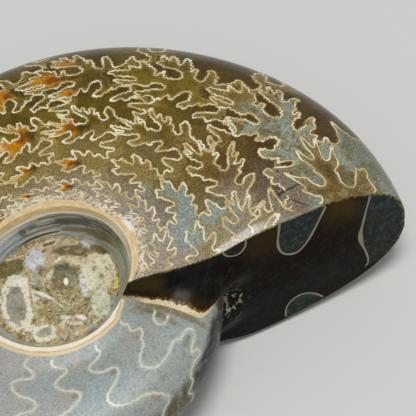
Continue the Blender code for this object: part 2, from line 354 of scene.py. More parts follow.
# The suture, drawn once in its own units: across is towards the ground end, and down is from the keel
# to the umbilicus
suture = {
    "line": """3.3,-1.6 3.9,-1.45 4.5,-1.3 4.9,-1.1 4.8,-.9 4.4,-.85 4.1,-.95 4.0,-.8 3.7,-.75 3.4,-.9
    3.5,-.65 3.2,-.6 3.0,-.72 3.1,-.5 2.75,-.4 3.1,-.3 2.95,-.15 3.3,-.2 3.5,-.28 3.7,-.2 3.75,-.35 4.0,-.4
    4.15,-.25 4.35,-.4 4.6,-.38 4.7,-.2 4.55,-.1 4.8,.05 4.9,.25 4.7,.35 4.6,.2 4.45,.12 4.5,.35 4.75,.5
    4.8,.7 4.6,.72 4.45,.6 4.4,.78 4.22,.9 4.08,.68 3.93,.57 4.02,.9 3.83,.88 3.72,.63 3.68,.74 3.58,.6
    3.4,.38 3.42,.6 3.34,.6 3.25,.48 3.12,.38 3.18,.56 2.97,.43 3.08,.6 2.98,.63 3.2,.72 3.45,.75 3.58,.83
    3.63,.95 3.5,1.03 3.3,1.0 3.24,.86 3.18,1.0 3.1,.98 3.06,.85 2.9,.77 2.68,.65 2.8,.86 2.55,.82 2.62,.94
    2.27,1.0 2.42,1.1 2.7,1.1 2.87,1.15 2.8,1.22 2.42,1.22 2.6,1.3 2.7,1.38 2.85,1.28 3.0,1.3 3.15,1.3
    3.2,1.2 3.35,1.18 3.5,1.25 3.48,1.36 3.3,1.38 3.2,1.45 2.98,1.52 3.12,1.57 3.0,1.66 3.2,1.68 3.38,1.8
    3.45,1.72 3.53,1.57 3.58,1.62 3.63,1.48 3.7,1.46 3.76,1.57 3.82,1.5 3.84,1.35 3.92,1.27 4.03,1.27
    4.09,1.38 4.13,1.5 4.03,1.6 4.0,1.7 4.17,1.7 4.2,1.62 4.28,1.58 4.33,1.46 4.4,1.52 4.5,1.41 4.62,1.38
    4.75,1.44 4.77,1.57 4.6,1.66 4.45,1.78 4.46,1.86 4.56,1.84 4.65,1.77 4.77,1.83 4.85,1.7 5.0,1.67 5.2,1.6
    5.38,1.68 5.36,1.8 5.2,1.85 4.88,1.93 5.1,2.0 5.33,2.02 5.36,2.12 5.25,2.17 5.08,2.13 5.2,2.25 5.38,2.3
    5.4,2.42 5.2,2.47 4.95,2.4 4.78,2.38 4.67,2.3 4.55,2.13 4.4,2.07 4.4,2.22 4.52,2.35 4.5,2.45 4.4,2.47
    4.28,2.38 4.22,2.25 4.13,2.28 4.1,2.15 4.0,2.08 4.02,2.22 3.95,2.25 3.87,2.15 3.78,2.05 3.8,2.2 3.7,2.12
    3.52,1.95 3.6,2.12 3.75,2.25 3.93,2.35 4.02,2.47 3.95,2.57 3.8,2.55 3.7,2.6 3.62,2.5 3.53,2.35 3.5,2.47
    3.42,2.4 3.27,2.22 3.35,2.47 3.22,2.45 2.95,2.36 3.15,2.5 3.33,2.62 3.2,2.66 2.77,2.6 2.92,2.7 3.12,2.72
    3.1,2.78 2.95,2.8 3.2,2.84 3.4,2.79 3.55,2.76 3.62,2.87 3.57,2.96 3.37,3.06 3.47,3.12 3.62,3.14 3.75,3.05
    3.88,2.97 3.97,3.02 4.02,2.88 4.1,2.85 4.2,2.78 4.29,2.87 4.25,3.05 4.33,3.1 4.43,3.02 4.55,2.95 4.6,2.85
    4.75,2.82 4.88,2.88 4.98,2.92 4.97,3.05 4.75,3.15 4.57,3.24 4.65,3.31 4.85,3.33 5.02,3.33 5.08,3.42
    4.9,3.49 4.93,3.58 4.98,3.68 4.85,3.73 4.7,3.64 4.6,3.6 4.52,3.71 4.43,3.63 4.33,3.52 4.22,3.5 4.2,3.6
    4.12,3.66 4.0,3.55 3.88,3.48 3.71,3.47 3.8,3.6 3.89,3.72 3.85,3.79 3.65,3.76 3.42,3.7 3.4,3.78 3.15,3.77
    3.28,3.87 3.45,3.97 3.56,4.0 3.5,4.1 3.4,4.19 3.55,4.26 3.7,4.35 3.76,4.25 3.9,4.23 4.05,4.13 4.2,4.07
    4.31,4.13 4.3,4.35 4.38,4.46 4.5,4.38 4.6,4.27 4.69,4.29 4.74,4.4 4.9,4.38 5.03,4.43 5.02,4.54 4.83,4.61
    4.93,4.74 5.12,4.87 5.03,4.93 5.15,5.17 5.0,5.08 4.85,5.15 4.73,5.03 4.62,4.93 4.55,5.16 4.42,5.1
    4.28,4.9 4.15,4.82 3.96,4.76 4.03,4.95 4.0,5.08 3.8,4.97 3.52,4.79 3.47,4.88 3.15,4.81 3.3,4.95 3.52,5.08
    3.62,5.2 3.5,5.3 3.2,5.36 3.42,5.46 3.58,5.53 3.67,5.68 3.76,5.57 3.95,5.5 4.1,5.57 4.18,5.42 4.32,5.45
    4.33,5.6 4.2,5.85 4.4,5.75 4.52,5.62 4.65,5.57 4.76,5.72 4.9,5.6 5.02,5.68 4.98,5.85 4.75,5.95 4.9,6.1
    4.7,6.2 4.4,6.1 4.6,6.35 4.9,6.5""",
    "spacing": 1.95,                                # between one suture and the next
    "forward": 4, "back": 5,                        # copies on each side of the one that was drawn
    "simpleFrom": 4, "simpleOver": 0.12,            # from this copy back the frills are polished away
    "drawnAt": 125.0,                               # degrees of turn where the drawing's own zero lies
    # how far the others stray from it
    "wander": {"by": 0.06, "perDown": 1.7, "perCopy": 1.9},
    "sway": {"by": 0.05, "perAcross": 1.5, "perCopy": 2.3, "perDown": 0.8},
    "seed": 40, "inlaySeed": 7,
    "frill": 0.040, "frillLength": 0.095, "frillVary": 0.22, "frillWaves": (0.7, 1.3, 2.9),
    "frillPace": (0.55, 1.7), "frillHeights": (0.2, 1.5), "frillSharpness": 1.8, "frillLean": -0.3,
    "frillStep": 0.007, "waveStep": 0.02, "curveSteps": 6,       # how finely the lines are divided
    "earlyLines": [
        """-23.3,-1.3 -23.6,-.9 -23.8,-.6 -23.7,-.35 -23.95,-.2 -24.0,0 -24.3,.1 -24.6,.05 -24.62,.2
        -24.45,.3 -24.65,.38 -24.9,.42 -25.02,.57 -24.9,.7 -24.6,.74 -24.42,.88 -24.2,.86 -23.9,.82 -23.5,.86
        -23.3,1.02 -23.18,1.2 -23.28,1.42 -23.5,1.55 -23.74,1.66 -23.85,1.85 -24.08,1.97 -24.2,2.2 -24.0,2.32
        -23.9,2.5 -24.05,2.75 -23.9,3.0 -24.1,3.3""",
        """-22.2,-1.2 -22.6,-.9 -22.4,-.6 -22.75,-.4 -22.9,-.1 -23.2,.05 -23.15,.25 -22.95,.45 -22.7,.58
        -22.35,.63 -22.0,.75 -21.82,.95 -21.88,1.15 -22.2,1.33 -22.45,1.52 -22.5,1.72 -22.35,1.86 -22.05,1.9
        -21.8,2.05 -21.62,2.28 -21.7,2.46 -22.05,2.57 -22.28,2.75 -22.2,3.0 -22.35,3.2""",
        """-20.3,-1.0 -20.9,-.7 -20.7,-.35 -21.2,-.15 -21.4,.15 -21.1,.4 -20.7,.5 -20.3,.75 -20.3,.98
        -20.72,1.18 -21.0,1.34 -21.1,1.52 -20.95,1.7 -20.62,1.82 -20.42,1.98 -20.3,2.16 -20.48,2.4
        -20.72,2.55 -20.72,2.72 -20.4,2.86 -20.15,3.05 -20.3,3.4""",
        """-19.0,-1.0 -19.5,-.7 -19.3,-.3 -19.8,-.1 -19.9,.25 -19.5,.5 -19.2,.75 -19.1,1.0 -19.35,1.26
        -19.68,1.36 -19.76,1.52 -19.55,1.72 -19.2,1.82 -18.98,1.98 -18.78,2.28 -19.0,2.46 -19.38,2.52
        -19.45,2.7 -19.25,2.9 -19.0,3.1 -19.2,3.5""",
        """-17.4,-1.0 -17.9,-.6 -17.7,-.3 -18.2,-.05 -18.3,.3 -17.8,.55 -17.6,.85 -17.9,1.2 -18.2,1.4
        -18.2,1.6 -17.9,1.8 -17.5,1.95 -17.3,2.2 -17.6,2.45 -17.9,2.6 -17.8,2.9 -17.4,3.1 -17.5,3.6""",
        "-25.12,1.38 -24.85,1.36 -24.68,1.5 -24.68,1.72 -24.85,1.88 -25.1,1.9",
    ],
    # beside the ground end the last two copies are drawn one by one in this corner: past "from", which leans
    # with the way down, and above "down"; each piece is numbered as the copy that it belongs to
    "corner": {"from": -1.88, "lean": 0.62, "top": 0.45, "down": 1.70},
    "cornerLines": [
        (2, """-1.33,-.02 -1.36,.13 -1.43,.16 -1.52,.22 -1.63,.23 -1.71,.24 -1.64,.28 -1.52,.31 -1.41,.37
        -1.34,.39 -1.28,.45 -1.27,.53 -1.32,.58 -1.41,.56 -1.42,.60 -1.35,.67 -1.45,.73 -1.50,.66 -1.56,.74
        -1.63,.68 -1.65,.59 -1.77,.53 -1.82,.46 -1.87,.50 -1.81,.65"""),
        (2, "-1.25,1.55 -1.23,1.42 -1.19,1.31 -1.12,1.30 -1.09,1.39 -1.13,1.52 -1.18,1.66"),
        (3, """-.27,.46 -.33,.42 -.39,.34 -.50,.36 -.61,.37 -.69,.33 -.78,.36 -.74,.42 -.78,.46 -.71,.50
        -.58,.57 -.49,.61 -.45,.67 -.50,.75 -.60,.79 -.71,.77 -.80,.79 -.85,.72 -.95,.66 -1.02,.66 -1.13,.63
        -1.27,.58 -1.13,.68 -1.02,.76 -1.01,.82 -1.09,.84 -1.21,.81 -1.28,.79 -1.47,.74 -1.32,.83 -1.33,.87
        -1.44,.88 -1.59,.90 -1.42,.95 -1.34,.96 -1.20,.95 -1.12,.96 -1.08,1.0 -1.13,1.04 -1.23,1.08
        -1.37,1.12 -1.17,1.16 -1.05,1.11 -.91,1.06 -.88,1.10 -.79,1.04 -.68,1.01 -.58,1.03 -.55,1.10
        -.61,1.18 -.69,1.23 -.77,1.26 -.81,1.35 -.88,1.46 -1.0,1.56 -.81,1.47 -.63,1.37 -.56,1.37 -.54,1.43
        -.46,1.34 -.39,1.26 -.37,1.18 -.27,1.19 -.24,1.26 -.16,1.20"""),
    ],
    "halfWidth": 0.000125, "tipWidth": 0.00007, "lift": 0.000012, "bed": 0.00006, "pointed": 1e-5,
    "wobble": 0.25, "wobbleRate": 0.21, "tipWindow": 4, "tipTurning": 2.2,
    "shortest": 6,                                  # points in the shortest stretch that is laid in
    "earlyWidth": 1.35, "earlyJitter": 0.010,
    "step": 0.024, "earlyStep": 0.05, "ringClearance": 0.2, "edgeClearance": 0.006,
    "lappedClearance": 2e-5,
}
# the ring of shell round the umbilicus: degrees from the seam, and its outer and inner edge in mm in from
# the rim
ringEdges = np.array([
    (0, -0.6, 0.9), (4, -0.7, 1.4), (16, -1.3, 1.9), (31, -1.6, 2.1), (41, -2.0, 2.1), (51, -2.5, 2.0),
    (57, -1.3, 1.9), (63, -0.7, 1.7), (76, -0.9, 1.5), (91, -1.3, 1.5), (121, -1.8, 1.45), (151, -1.4, 1.8),
    (181, -1.3, 1.5), (211, -1.6, 0.6), (241, -1.7, 0.1), (271, -1.9, -0.1), (301, -2.1, -0.3),
    (316, -2.0, -0.35), (341, -1.9, -0.2), (353, -1.0, 0.3), (360, -0.6, 0.9),
])
ringSeam = -31.0                                    # degrees of turn where the ring meets the seam


def fromSeam(turn):
    return np.mod(np.degrees(turn) - ringSeam, 360)


def ringOuter(turn):
    return np.interp(fromSeam(turn), ringEdges[:, 0], ringEdges[:, 1])


def ringInner(turn):
    return np.interp(fromSeam(turn), ringEdges[:, 0], ringEdges[:, 2])


def drawnLine(text):
    return np.array([[float(v) for v in pair.split(",")] for pair in text.split()])


def roundedLine(points, steps=suture["curveSteps"]):
    # a smooth curve through every point
    points = np.vstack([2 * points[0] - points[1], points, 2 * points[-1] - points[-2]])
    t = (np.arange(steps) / steps)[None, :, None]
    a, b, c, d = (points[i:len(points) - 3 + i, None] for i in range(4))
    curve = 2 * b + (c - a) * t + (2 * a - 5 * b + 4 * c - d) * t ** 2 + (3 * b - a - 3 * c + d) * t ** 3
    return np.vstack([curve.reshape(-1, 2) / 2, points[-2]])


def evenLine(line, step):
    run = np.concatenate([[0], np.cumsum(np.linalg.norm(np.diff(line, axis=0), axis=1))])
    at = np.linspace(0, run[-1], int(run[-1] / step) + 1)
    return np.stack([np.interp(at, run, line[:, i]) for i in range(2)], -1), at


def leftOf(line):
    ahead = np.gradient(line, axis=0)
    ahead /= np.maximum(np.linalg.norm(ahead, axis=1, keepdims=True), 1e-9)
    return np.stack([-ahead[:, 1], ahead[:, 0]], -1)


def frilled(line, dice):
    # small rounded scallops whose cusps all point back from the ground end
    line, run = evenLine(line, suture["frillStep"])
    rate = 1 + sum(dice.normal() * suture["frillVary"] * np.sin(2 * pi * run / wave + dice.uniform(0, 6))
                   for wave in suture["frillWaves"])
    phase = np.cumsum(np.clip(rate, *suture["frillPace"])) * suture["frillStep"] / suture["frillLength"]
    cusp = np.floor(phase + 0.5).astype(int)
    height = (suture["frill"] * dice.uniform(*suture["frillHeights"], cusp.max() + 2))[cusp]
    beside = 2 * (phase - np.floor(phase)) - 1
    back = leftOf(line) + np.array([suture["frillLean"], 0.0])
    back /= np.linalg.norm(back, axis=1, keepdims=True)
    return line + back * (np.abs(beside) ** suture["frillSharpness"] * height)[:, None]


def smoothed(line, over):
    line, _ = evenLine(line, suture["waveStep"])
    window = np.hanning(2 * int(over / suture["waveStep"]) + 1)
    return np.stack([np.convolve(line[:, i], window / window.sum(), "valid") for i in range(2)], -1)


def placedLine(number):
    # one copy of the suture: how far it lies towards the ground end, and how far down from the keel
    line = roundedLine(drawnLine(suture["line"]))
    stray = 0.0 if number == 0 else 1.0
    if number <= -suture["simpleFrom"]:
        line = smoothed(line, suture["simpleOver"] * (1 - suture["simpleFrom"] - number))
    else:
        line = frilled(line, np.random.default_rng(suture["seed"] + number))
    across = line[:, 0] + number * suture["spacing"] - radians(suture["drawnAt"]) / flow
    wander, sway = suture["wander"], suture["sway"]
    sideways = wander["perDown"] * line[:, 1] + wander["perCopy"] * number
    across = across + stray * wander["by"] * np.sin(sideways)
    lengthways = sway["perAcross"] * line[:, 0] + sway["perCopy"] * number + sway["perDown"] * line[:, 1]
    return np.stack([across, line[:, 1] + stray * sway["by"] * np.sin(lengthways)], -1)


def placedEarlyLine(number):
    # the earlier whorl is polished deeper, so its sutures are plain waves
    line, run = evenLine(roundedLine(drawnLine(suture["earlyLines"][number])), suture["waveStep"])
    jitter = np.sin(run * 31 + number) + 0.8 * np.sin(run * 47 + 2 * number) + 0.6 * np.sin(run * 71)
    return line + leftOf(line) * (jitter * suture["earlyJitter"])[:, None]


joinDepth = 0.6                                     # down to here the depth goes by the radius alone


def depthTable(turn):
    # how far down from the keel each share of the flank lies: near the keel by its radius, and below that by
    # the way round the flank's own curve
    point = flankPoint(np.full(shareTable.shape, turn), shareTable, 1)
    radius = np.hypot(point[:, 0], point[:, 1])
    step = np.linalg.norm(np.diff(point, axis=0), axis=1) / (radius[1:] + radius[:-1]) * 2 / flow
    run = np.concatenate([[0], np.cumsum(step)])
    plain = np.log(keel(turn) / radius) / flow
    join = np.interp(joinDepth, plain[::-1], shareTable[::-1])
    down = np.interp(join, shareTable, plain) - (run - np.interp(join, shareTable, run))
    return np.where(shareTable < join, plain, down)


turnTable = np.linspace(-0.9, 2 * pi, 90)           # the turns that the depths are worked out at
depthTables = np.array([depthTable(turn) for turn in turnTable])


def betweenTables(turn, values, look):
    # looks the values up in the tables on both sides of each turn
    spot = np.clip((turn - turnTable[0]) / (turnTable[1] - turnTable[0]), 0, len(turnTable) - 1.001)
    whole = np.floor(spot).astype(int)
    found = np.zeros_like(values)
    for i in np.unique(whole):
        here = whole == i
        before, after = look(i, values[here]), look(i + 1, values[here])
        found[here] = before + (after - before) * (spot[here] - i)
    return found


def shareAt(turn, down):
    # the share of the flank at a turn and a distance down from the keel
    return betweenTables(turn, down, lambda i, v: np.interp(v, depthTables[i][::-1], shareTable[::-1]))


def depthAt(turn, share):
    return betweenTables(turn, share, lambda i, v: np.interp(v, shareTable, depthTables[i]))


def keelDepth(turn):
    return np.interp(turn, turnTable, depthTables[:, -1])


def surfaceNormal(turn, share, side):
    small = 1e-4
    along = skinPoint(turn + small, share, side) - skinPoint(turn - small, share, side)
    nearer, farther = np.maximum(share - small, 0), np.minimum(share + small, 1)
    out = skinPoint(turn, farther, side) - skinPoint(turn, nearer, side)
    normal = np.cross(along, out)
    normal /= np.maximum(np.linalg.norm(normal, axis=1, keepdims=True), 1e-15)
    flip = np.where(normal[:, 2] * side >= -1e-6, 1.0, -1.0)[:, None]
    return normal * flip


def fingerTips(line):
    # sharpest where the line doubles back at the tip of a finger
    bend = np.unwrap(np.arctan2(*np.gradient(line, axis=0).T[::-1]))
    window = suture["tipWindow"]
    turning = np.zeros(len(line))
    turning[window:-window] = bend[2 * window:] - bend[:-2 * window]
    return np.clip(-turning / suture["tipTurning"], 0, 1)


def unbroken(keep):
    runs, begin = [], None
    for i, ok in enumerate(np.append(keep, False)):
        if ok and begin is None:
            begin = i
        if not ok and begin is not None:
            if i - begin > suture["shortest"]:
                runs.append(slice(begin, i))
            begin = None
    return runs


def inCorner(line):
    corner = suture["corner"]
    edge = corner["from"] + corner["lean"] * (line[:, 1] - corner["top"])
    return (line[:, 0] > edge) & (line[:, 1] < corner["down"])


def flankRuns(line, side, width, corner=False):
    # the stretches of a line that lie on one flank, clear of the ring and of the ground end
    tip = fingerTips(line)
    turn, down = -line[:, 0] * flow, line[:, 1]
    keelDown = keelDepth(turn)
    share = shareAt(turn, np.maximum(down, keelDown))
    outside = share * (keel(turn) - rim(turn)) * 1000
    keep = (down > keelDown) & (outside > suture["ringClearance"] - ringOuter(turn))
    clear = suture["edgeClearance"]
    keep &= (turn > endTurn(share, side) + clear) & (turn < seamTurn(share) - clear)
    keep &= corner | ~inCorner(line)
    # none where it is lapped level below
    keep &= toRest(skinPoint(turn, share, side))[:, 2] > suture["lappedClearance"]
    return [(turn[r], share[r], tip[r] * (width <= 1), side, width) for r in unbroken(keep)]


# the crowded little loops where the sutures meet the ring, in mm
foam = {
    "pitch": 1.25, "swing": 0.46, "height": 0.85, "clearance": 0.25, "width": 0.85,
    "from": 0.5, "toTurn": 3.6, "radius": 13.5, "step": 0.07,
}


def foamRuns(side):
    # the loops' pace and size change unevenly along the ring
    run = np.arange(foam["from"], foam["toTurn"] * foam["radius"], foam["step"])
    pace = 1 + 0.25 * np.sin(run / 2.3 + 1) + 0.2 * np.sin(run / 0.9)
    phase = np.cumsum(pace) * foam["step"] * 2 * pi / foam["pitch"]
    swing = 1 + 0.4 * np.sin(run / 1.7 + 2) + 0.15 * np.sin(run * 3.1)
    turn = startTable[0] + (run + foam["swing"] * np.sin(phase) * swing) / foam["radius"]
    outside = foam["clearance"] - ringOuter(turn) + foam["height"] * (1 - np.cos(phase)) / 2 * swing
    outside = outside + 0.08 * np.sin(run * 9.0) + 0.06 * np.sin(run * 14.3 + 1)
    share = outside / 1000 / (keel(turn) - rim(turn))
    keep = turn > endTurn(share, side) + suture["edgeClearance"]
    return [(turn[r], share[r], np.zeros(len(turn[r])), side, foam["width"]) for r in unbroken(keep)]


def ribbon(centre, normal, half):
    # a thin inlay: flat on top, a keel below, closed at both ends
    along = np.gradient(centre, axis=0)
    along /= np.maximum(np.linalg.norm(along, axis=1, keepdims=True), 1e-12)
    across = np.cross(normal, along)
    half = half[:, None].copy()
    half[0] = half[-1] = suture["pointed"]
    top = centre + normal * suture["lift"]
    return top + across * half, top - across * half, centre - normal * suture["bed"]


def flankRibbon(turn, share, tip, side, width, dice):
    wobble = 1 + suture["wobble"] * np.sin(np.arange(len(turn)) * suture["wobbleRate"] + dice.uniform(0, 6))
    half = suture["halfWidth"] * width * wobble + suture["tipWidth"] * tip
    return ribbon(skinPoint(turn, share, side), surfaceNormal(turn, share, side), half)


# the lines on the ground end: across and height in mm, and half their width in mm
endLines = {
    "halfLoop": ("28.2,11.4 28.3,10.2 28.8,9.2 29.8,8.6 30.8,8.5 31.7,9.1 32.2,10.1 32.3,11.6", 0.17),
    "largeLoop": ("38.4,11.8 37.9,9.5 37.5,7.3 37.5,5.6 38.1,4.1 39.2,3.2 40.4,2.9 41.5,3.4 42.8,4.7 "
                  "44.1,6.6 45.3,8.6 46.3,10.4 46.6,11.4", 0.21),
    "longLine": ("54.2,8.9 53.9,7.6 53.2,5.4 52.7,3.6 52.2,1.9 51.8,.4 51.8,-1.2 52.1,-2.8 52.5,-4.4 "
                 "52.8,-6.2 52.7,-7.4 52.1,-8.0", 0.18),
    "lowerArc": ("37.0,-12.4 37.0,-10.8 37.3,-9.2 38.2,-8.1 39.6,-7.6 41.2,-7.9 42.6,-8.9 43.7,-10.2 "
                 "44.6,-11.6", 0.17),
}
# points beyond the ground end that close each line round the stone that it fills
endFills = {
    "halfLoop": [(30, 16)], "largeLoop": [(41, 16)], "lowerArc": [(40, -16)], "longLine": [(70, -8), (70, 9)],
}
endThick = {"at": (51.8, -0.4), "reach": 2.0, "by": 0.26}      # the long line is thick at one place
endLine = {"clearance": 0.22, "step": 0.25, "curveSteps": 8, "wobble": 0.15, "wobbleRate": 0.35}


def endPlanePoint(x, z):
    return np.stack([x, coil["endOffset"] + tan(coil["endYaw"]) * x + coil["endLean"] * z, z], -1)


def endOutline(name):
    return evenLine(roundedLine(drawnLine(endLines[name][0]), endLine["curveSteps"]), endLine["step"])[0]


def onEndFace(line):
    # clear of the ground end's own edge
    share = np.clip((abs(line[:, 0]) / 1000 - rim(0.0)) / (keel(0.0) - rim(0.0)), 0, 1)
    height = flankHeight(0 * share, share) * 1000
    return abs(line[:, 1]) < height - endLine["clearance"]


def endRibbons():
    normal = np.array([tan(coil["endYaw"]), -1.0, coil["endLean"]])
    normal /= np.linalg.norm(normal)
    made = []
    for name, (_, width) in endLines.items():
        line = endOutline(name)
        thick = bump(np.linalg.norm(line - endThick["at"], axis=1), 0, endThick["reach"])
        wobble = 1 + endLine["wobble"] * np.sin(np.arange(len(line)) * endLine["wobbleRate"])
        half = (width * wobble + endThick["by"] * thick) / 1000
        for r in unbroken(onEndFace(line)):
            centre = endPlanePoint(line[r, 0] / 1000, line[r, 1] / 1000)
            made.append((*ribbon(centre, np.broadcast_to(normal, centre.shape), half[r]), 1.0))
    return made


def inlayRibbons():
    made = endRibbons()
    for side in (1, -1):
        dice = np.random.default_rng(suture["inlaySeed"])
        step = suture["step"] if side > 0 else suture["earlyStep"]
        runs = foamRuns(side)
        for number in range(-suture["back"], suture["forward"] + 1):
            runs += flankRuns(evenLine(placedLine(number), step)[0], side, 1.0)
        for number in range(len(suture["earlyLines"])):
            line = evenLine(placedEarlyLine(number), suture["earlyStep"])[0]
            runs += flankRuns(line, side, suture["earlyWidth"])
        for _, text in suture["cornerLines"]:
            line = evenLine(roundedLine(drawnLine(text)), step)[0]
            runs += flankRuns(line, side, 1.0, corner=True)
        made += [(*flankRibbon(*run, dice), 0.0) for run in runs]
    return made


def inlayMesh():
    points, faces, onEnd = [], [], []
    count = 0
    for left, right, below, there in inlayRibbons():
        n = len(left)
        points.append(np.concatenate([left, right, below]))
        onEnd.append(np.full(3 * n, there))
        a = np.arange(n - 1) + count
        b, c = a + n, a + 2 * n
        strips = (b, b + 1, a + 1, a), (a, a + 1, c + 1, c), (c, c + 1, b + 1, b)
        faces += [np.stack(strip, -1) for strip in strips]
        first, last = count, count + n - 1
        faces.append(np.array([[first, first + 2 * n, first + n], [last, last + n, last + 2 * n]]))
        count += 3 * n
    return np.concatenate(points), faces, np.concatenate(onEnd)


def clearSelection():
    for item in bpy.context.selected_objects:
        item.select_set(False)


boxMargin = 1e-6                                    # a thousandth of a millimetre


def intoSolid(point):
    # keeps every point inside the box that the solid fills
    return np.clip(point, np.array(solidLow) + boxMargin, np.array(solidHigh) - boxMargin)


def buildSkin():
    clearSelection()
    columns, count = len(ways) - 1, len(rows) - 1
    bpy.ops.mesh.primitive_grid_add(x_subdivisions=columns, y_subdivisions=count, size=2)
    skin = bpy.context.active_object
    skin.name = skin.data.name = "polishedShell"
    mesh = skin.data
    co = np.zeros(len(mesh.vertices) * 3)
    mesh.vertices.foreach_get("co", co)
    co = co.reshape(-1, 3)
    column = np.rint((co[:, 0] + 1) / 2 * columns).astype(int)
    row = np.rint((co[:, 1] + 1) / 2 * count).astype(int)
    spot = place[column, row]
    rest = toRest(spot)
    rest[:, 2] = np.maximum(rest[:, 2], 0)           # lapped level with the surface that it lies on
    mesh.vertices.foreach_set("co", intoSolid(rest).ravel())
    corner = np.zeros(len(mesh.loops), int)
    mesh.loops.foreach_get("vertex_index", corner)
    return skin, column, row, corner


print("wrapping the skin")
skin, column, row, corner = buildSkin()
rowShare = np.array([value if kind == "ring" else 0.0 for kind, value, side in rows])
rowInner = np.array([value if kind == "inner" else 0.0 for kind, value, side in rows])
rowSide = np.array([side for kind, value, side in rows])
wayOf, shareOf, sideOf = ways[column], rowShare[row], rowSide[row]
startOf = endTurn(shareOf, sideOf)
turnOf = wayTurn(wayOf, startOf, seamTurn(shareOf))
downOf = depthAt(np.clip(turnOf, turnTable[0], turnTable[-1]), shareOf)
placeOf = place[column, row]
rimRow = [j for j, (kind, value, side) in enumerate(rows) if kind == "ring" and value == 0.0]
stepAlong = np.linalg.norm(np.diff(place, axis=1), axis=2)
runAlong = np.concatenate([np.zeros((len(ways), 1)), np.cumsum(stepAlong, axis=1)], axis=1)
inwardUpper = runAlong[:, rimRow[0]][:, None] - runAlong
inwardLower = runAlong - runAlong[:, rimRow[1]][:, None]
inward = np.where(rowSide[None, :] > 0, inwardUpper, inwardLower)[column, row] * 1000

# how far each point of the ground end lies from the seam, and from the outer edge, in mm
seamIndex = int(np.argmin(abs(ways - 1)))
stepAcross = np.linalg.norm(np.diff(place, axis=0), axis=2)
runAcross = np.concatenate([np.zeros((1, len(rows))), np.cumsum(stepAcross, axis=0)])
seamRun = (runAcross - runAcross[seamIndex])[column, row] * 1000
edgeRun = (runAcross[-1] - runAcross)[column, row] * 1000


def insideOutline(x, z, outline):
    # signed distance in mm, positive inside
    inside = np.zeros(len(x), bool)
    nearest = np.full(len(x), 1e3)
    for (x0, z0), (x1, z1) in zip(outline, np.roll(outline, -1, 0)):
        crosses = ((z0 > z) != (z1 > z)) & (x < (x1 - x0) * (z - z0) / (z1 - z0 if z1 != z0 else 1e-9) + x0)
        inside ^= crosses
        length = (x1 - x0) ** 2 + (z1 - z0) ** 2 + 1e-12
        along = np.clip(((x - x0) * (x1 - x0) + (z - z0) * (z1 - z0)) / length, 0, 1)
        nearest = np.minimum(nearest, np.hypot(x - x0 - along * (x1 - x0), z - z0 - along * (z1 - z0)))
    return np.where(inside, nearest, -nearest)


farOutside = -50.0


def endFillField():
    # how far inside the lines on the ground end each point lies
    fill = np.full(len(turnOf), farOutside)
    onEnd = (wayOf > 1) & (rowInner[row] == 0)
    x, z = placeOf[onEnd, 0] * 1000, placeOf[onEnd, 2] * 1000
    for name, beyond in endFills.items():
        fill[onEnd] = np.maximum(fill[onEnd], insideOutline(x, z, np.vstack([endOutline(name), beyond])))
    return fill


chambers = {"early": -50, "firstEarly": -9, "reach": 1.3, "far": 9.0, "dotStep": 0.03}


def suturePieces():
    # every suture by its number, with the pieces that it is drawn in
    lines = {number: [placedLine(number)] for number in range(-suture["back"], suture["forward"] + 1)}
    for number, text in suture["cornerLines"]:
        lines[number].append(roundedLine(drawnLine(text)))
    for number in range(len(suture["earlyLines"])):
        lines[number + chambers["early"]] = [placedEarlyLine(number)]
    return lines


def sutureDots(number, pieces):
    # points along a suture, and which way is left of it there
    dots, lefts = [], []
    for k, piece in enumerate(pieces):
        piece = evenLine(piece, chambers["dotStep"])[0]
        kept = np.full(len(piece), True) if k or number < chambers["firstEarly"] else ~inCorner(piece)
        dots.append(piece[kept])
        lefts.append(leftOf(piece)[kept])
    return np.concatenate(dots), np.concatenate(lefts)


def chamberFields():
    # the distance to the nearest suture in front of each point and to the nearest behind it, and its
    # chamber's number
    flat = np.stack([-turnOf / flow, downOf], -1)
    ahead, behind = np.full(len(flat), chambers["far"]), np.full(len(flat), chambers["far"])
    chamber = np.zeros(len(flat))
    for number, pieces in suturePieces().items():
        dots, lefts = sutureDots(number, pieces)
        tree = KDTree(len(dots))
        for i, dot in enumerate(dots):
            tree.insert((dot[0], dot[1], 0.0), i)
        tree.balance()
        reach = chambers["reach"]
        near = (flat[:, 0] > dots[:, 0].min() - reach) & (flat[:, 0] < dots[:, 0].max() + reach)
        for i in np.nonzero(near)[0]:
            _, j, distance = tree.find((flat[i, 0], flat[i, 1], 0.0))
            inFront = (flat[i] - dots[j]) @ lefts[j] <= 0
            if distance < min(ahead[i], behind[i]):
                chamber[i] = max(number, chambers["firstEarly"]) + inFront
            if inFront:
                behind[i] = min(behind[i], distance)
            else:
                ahead[i] = min(ahead[i], distance)
    return ahead, behind, chamber


def cornerValues(mesh, name, values):
    layer = mesh.attributes.new(name, "FLOAT", "CORNER")
    layer.data.foreach_set("value", values[corner].astype(np.float32))


def cornerPlaces(mesh, name, values):
    layer = mesh.attributes.new(name, "FLOAT_VECTOR", "CORNER")
    layer.data.foreach_set("vector", values[corner].astype(np.float32).ravel())


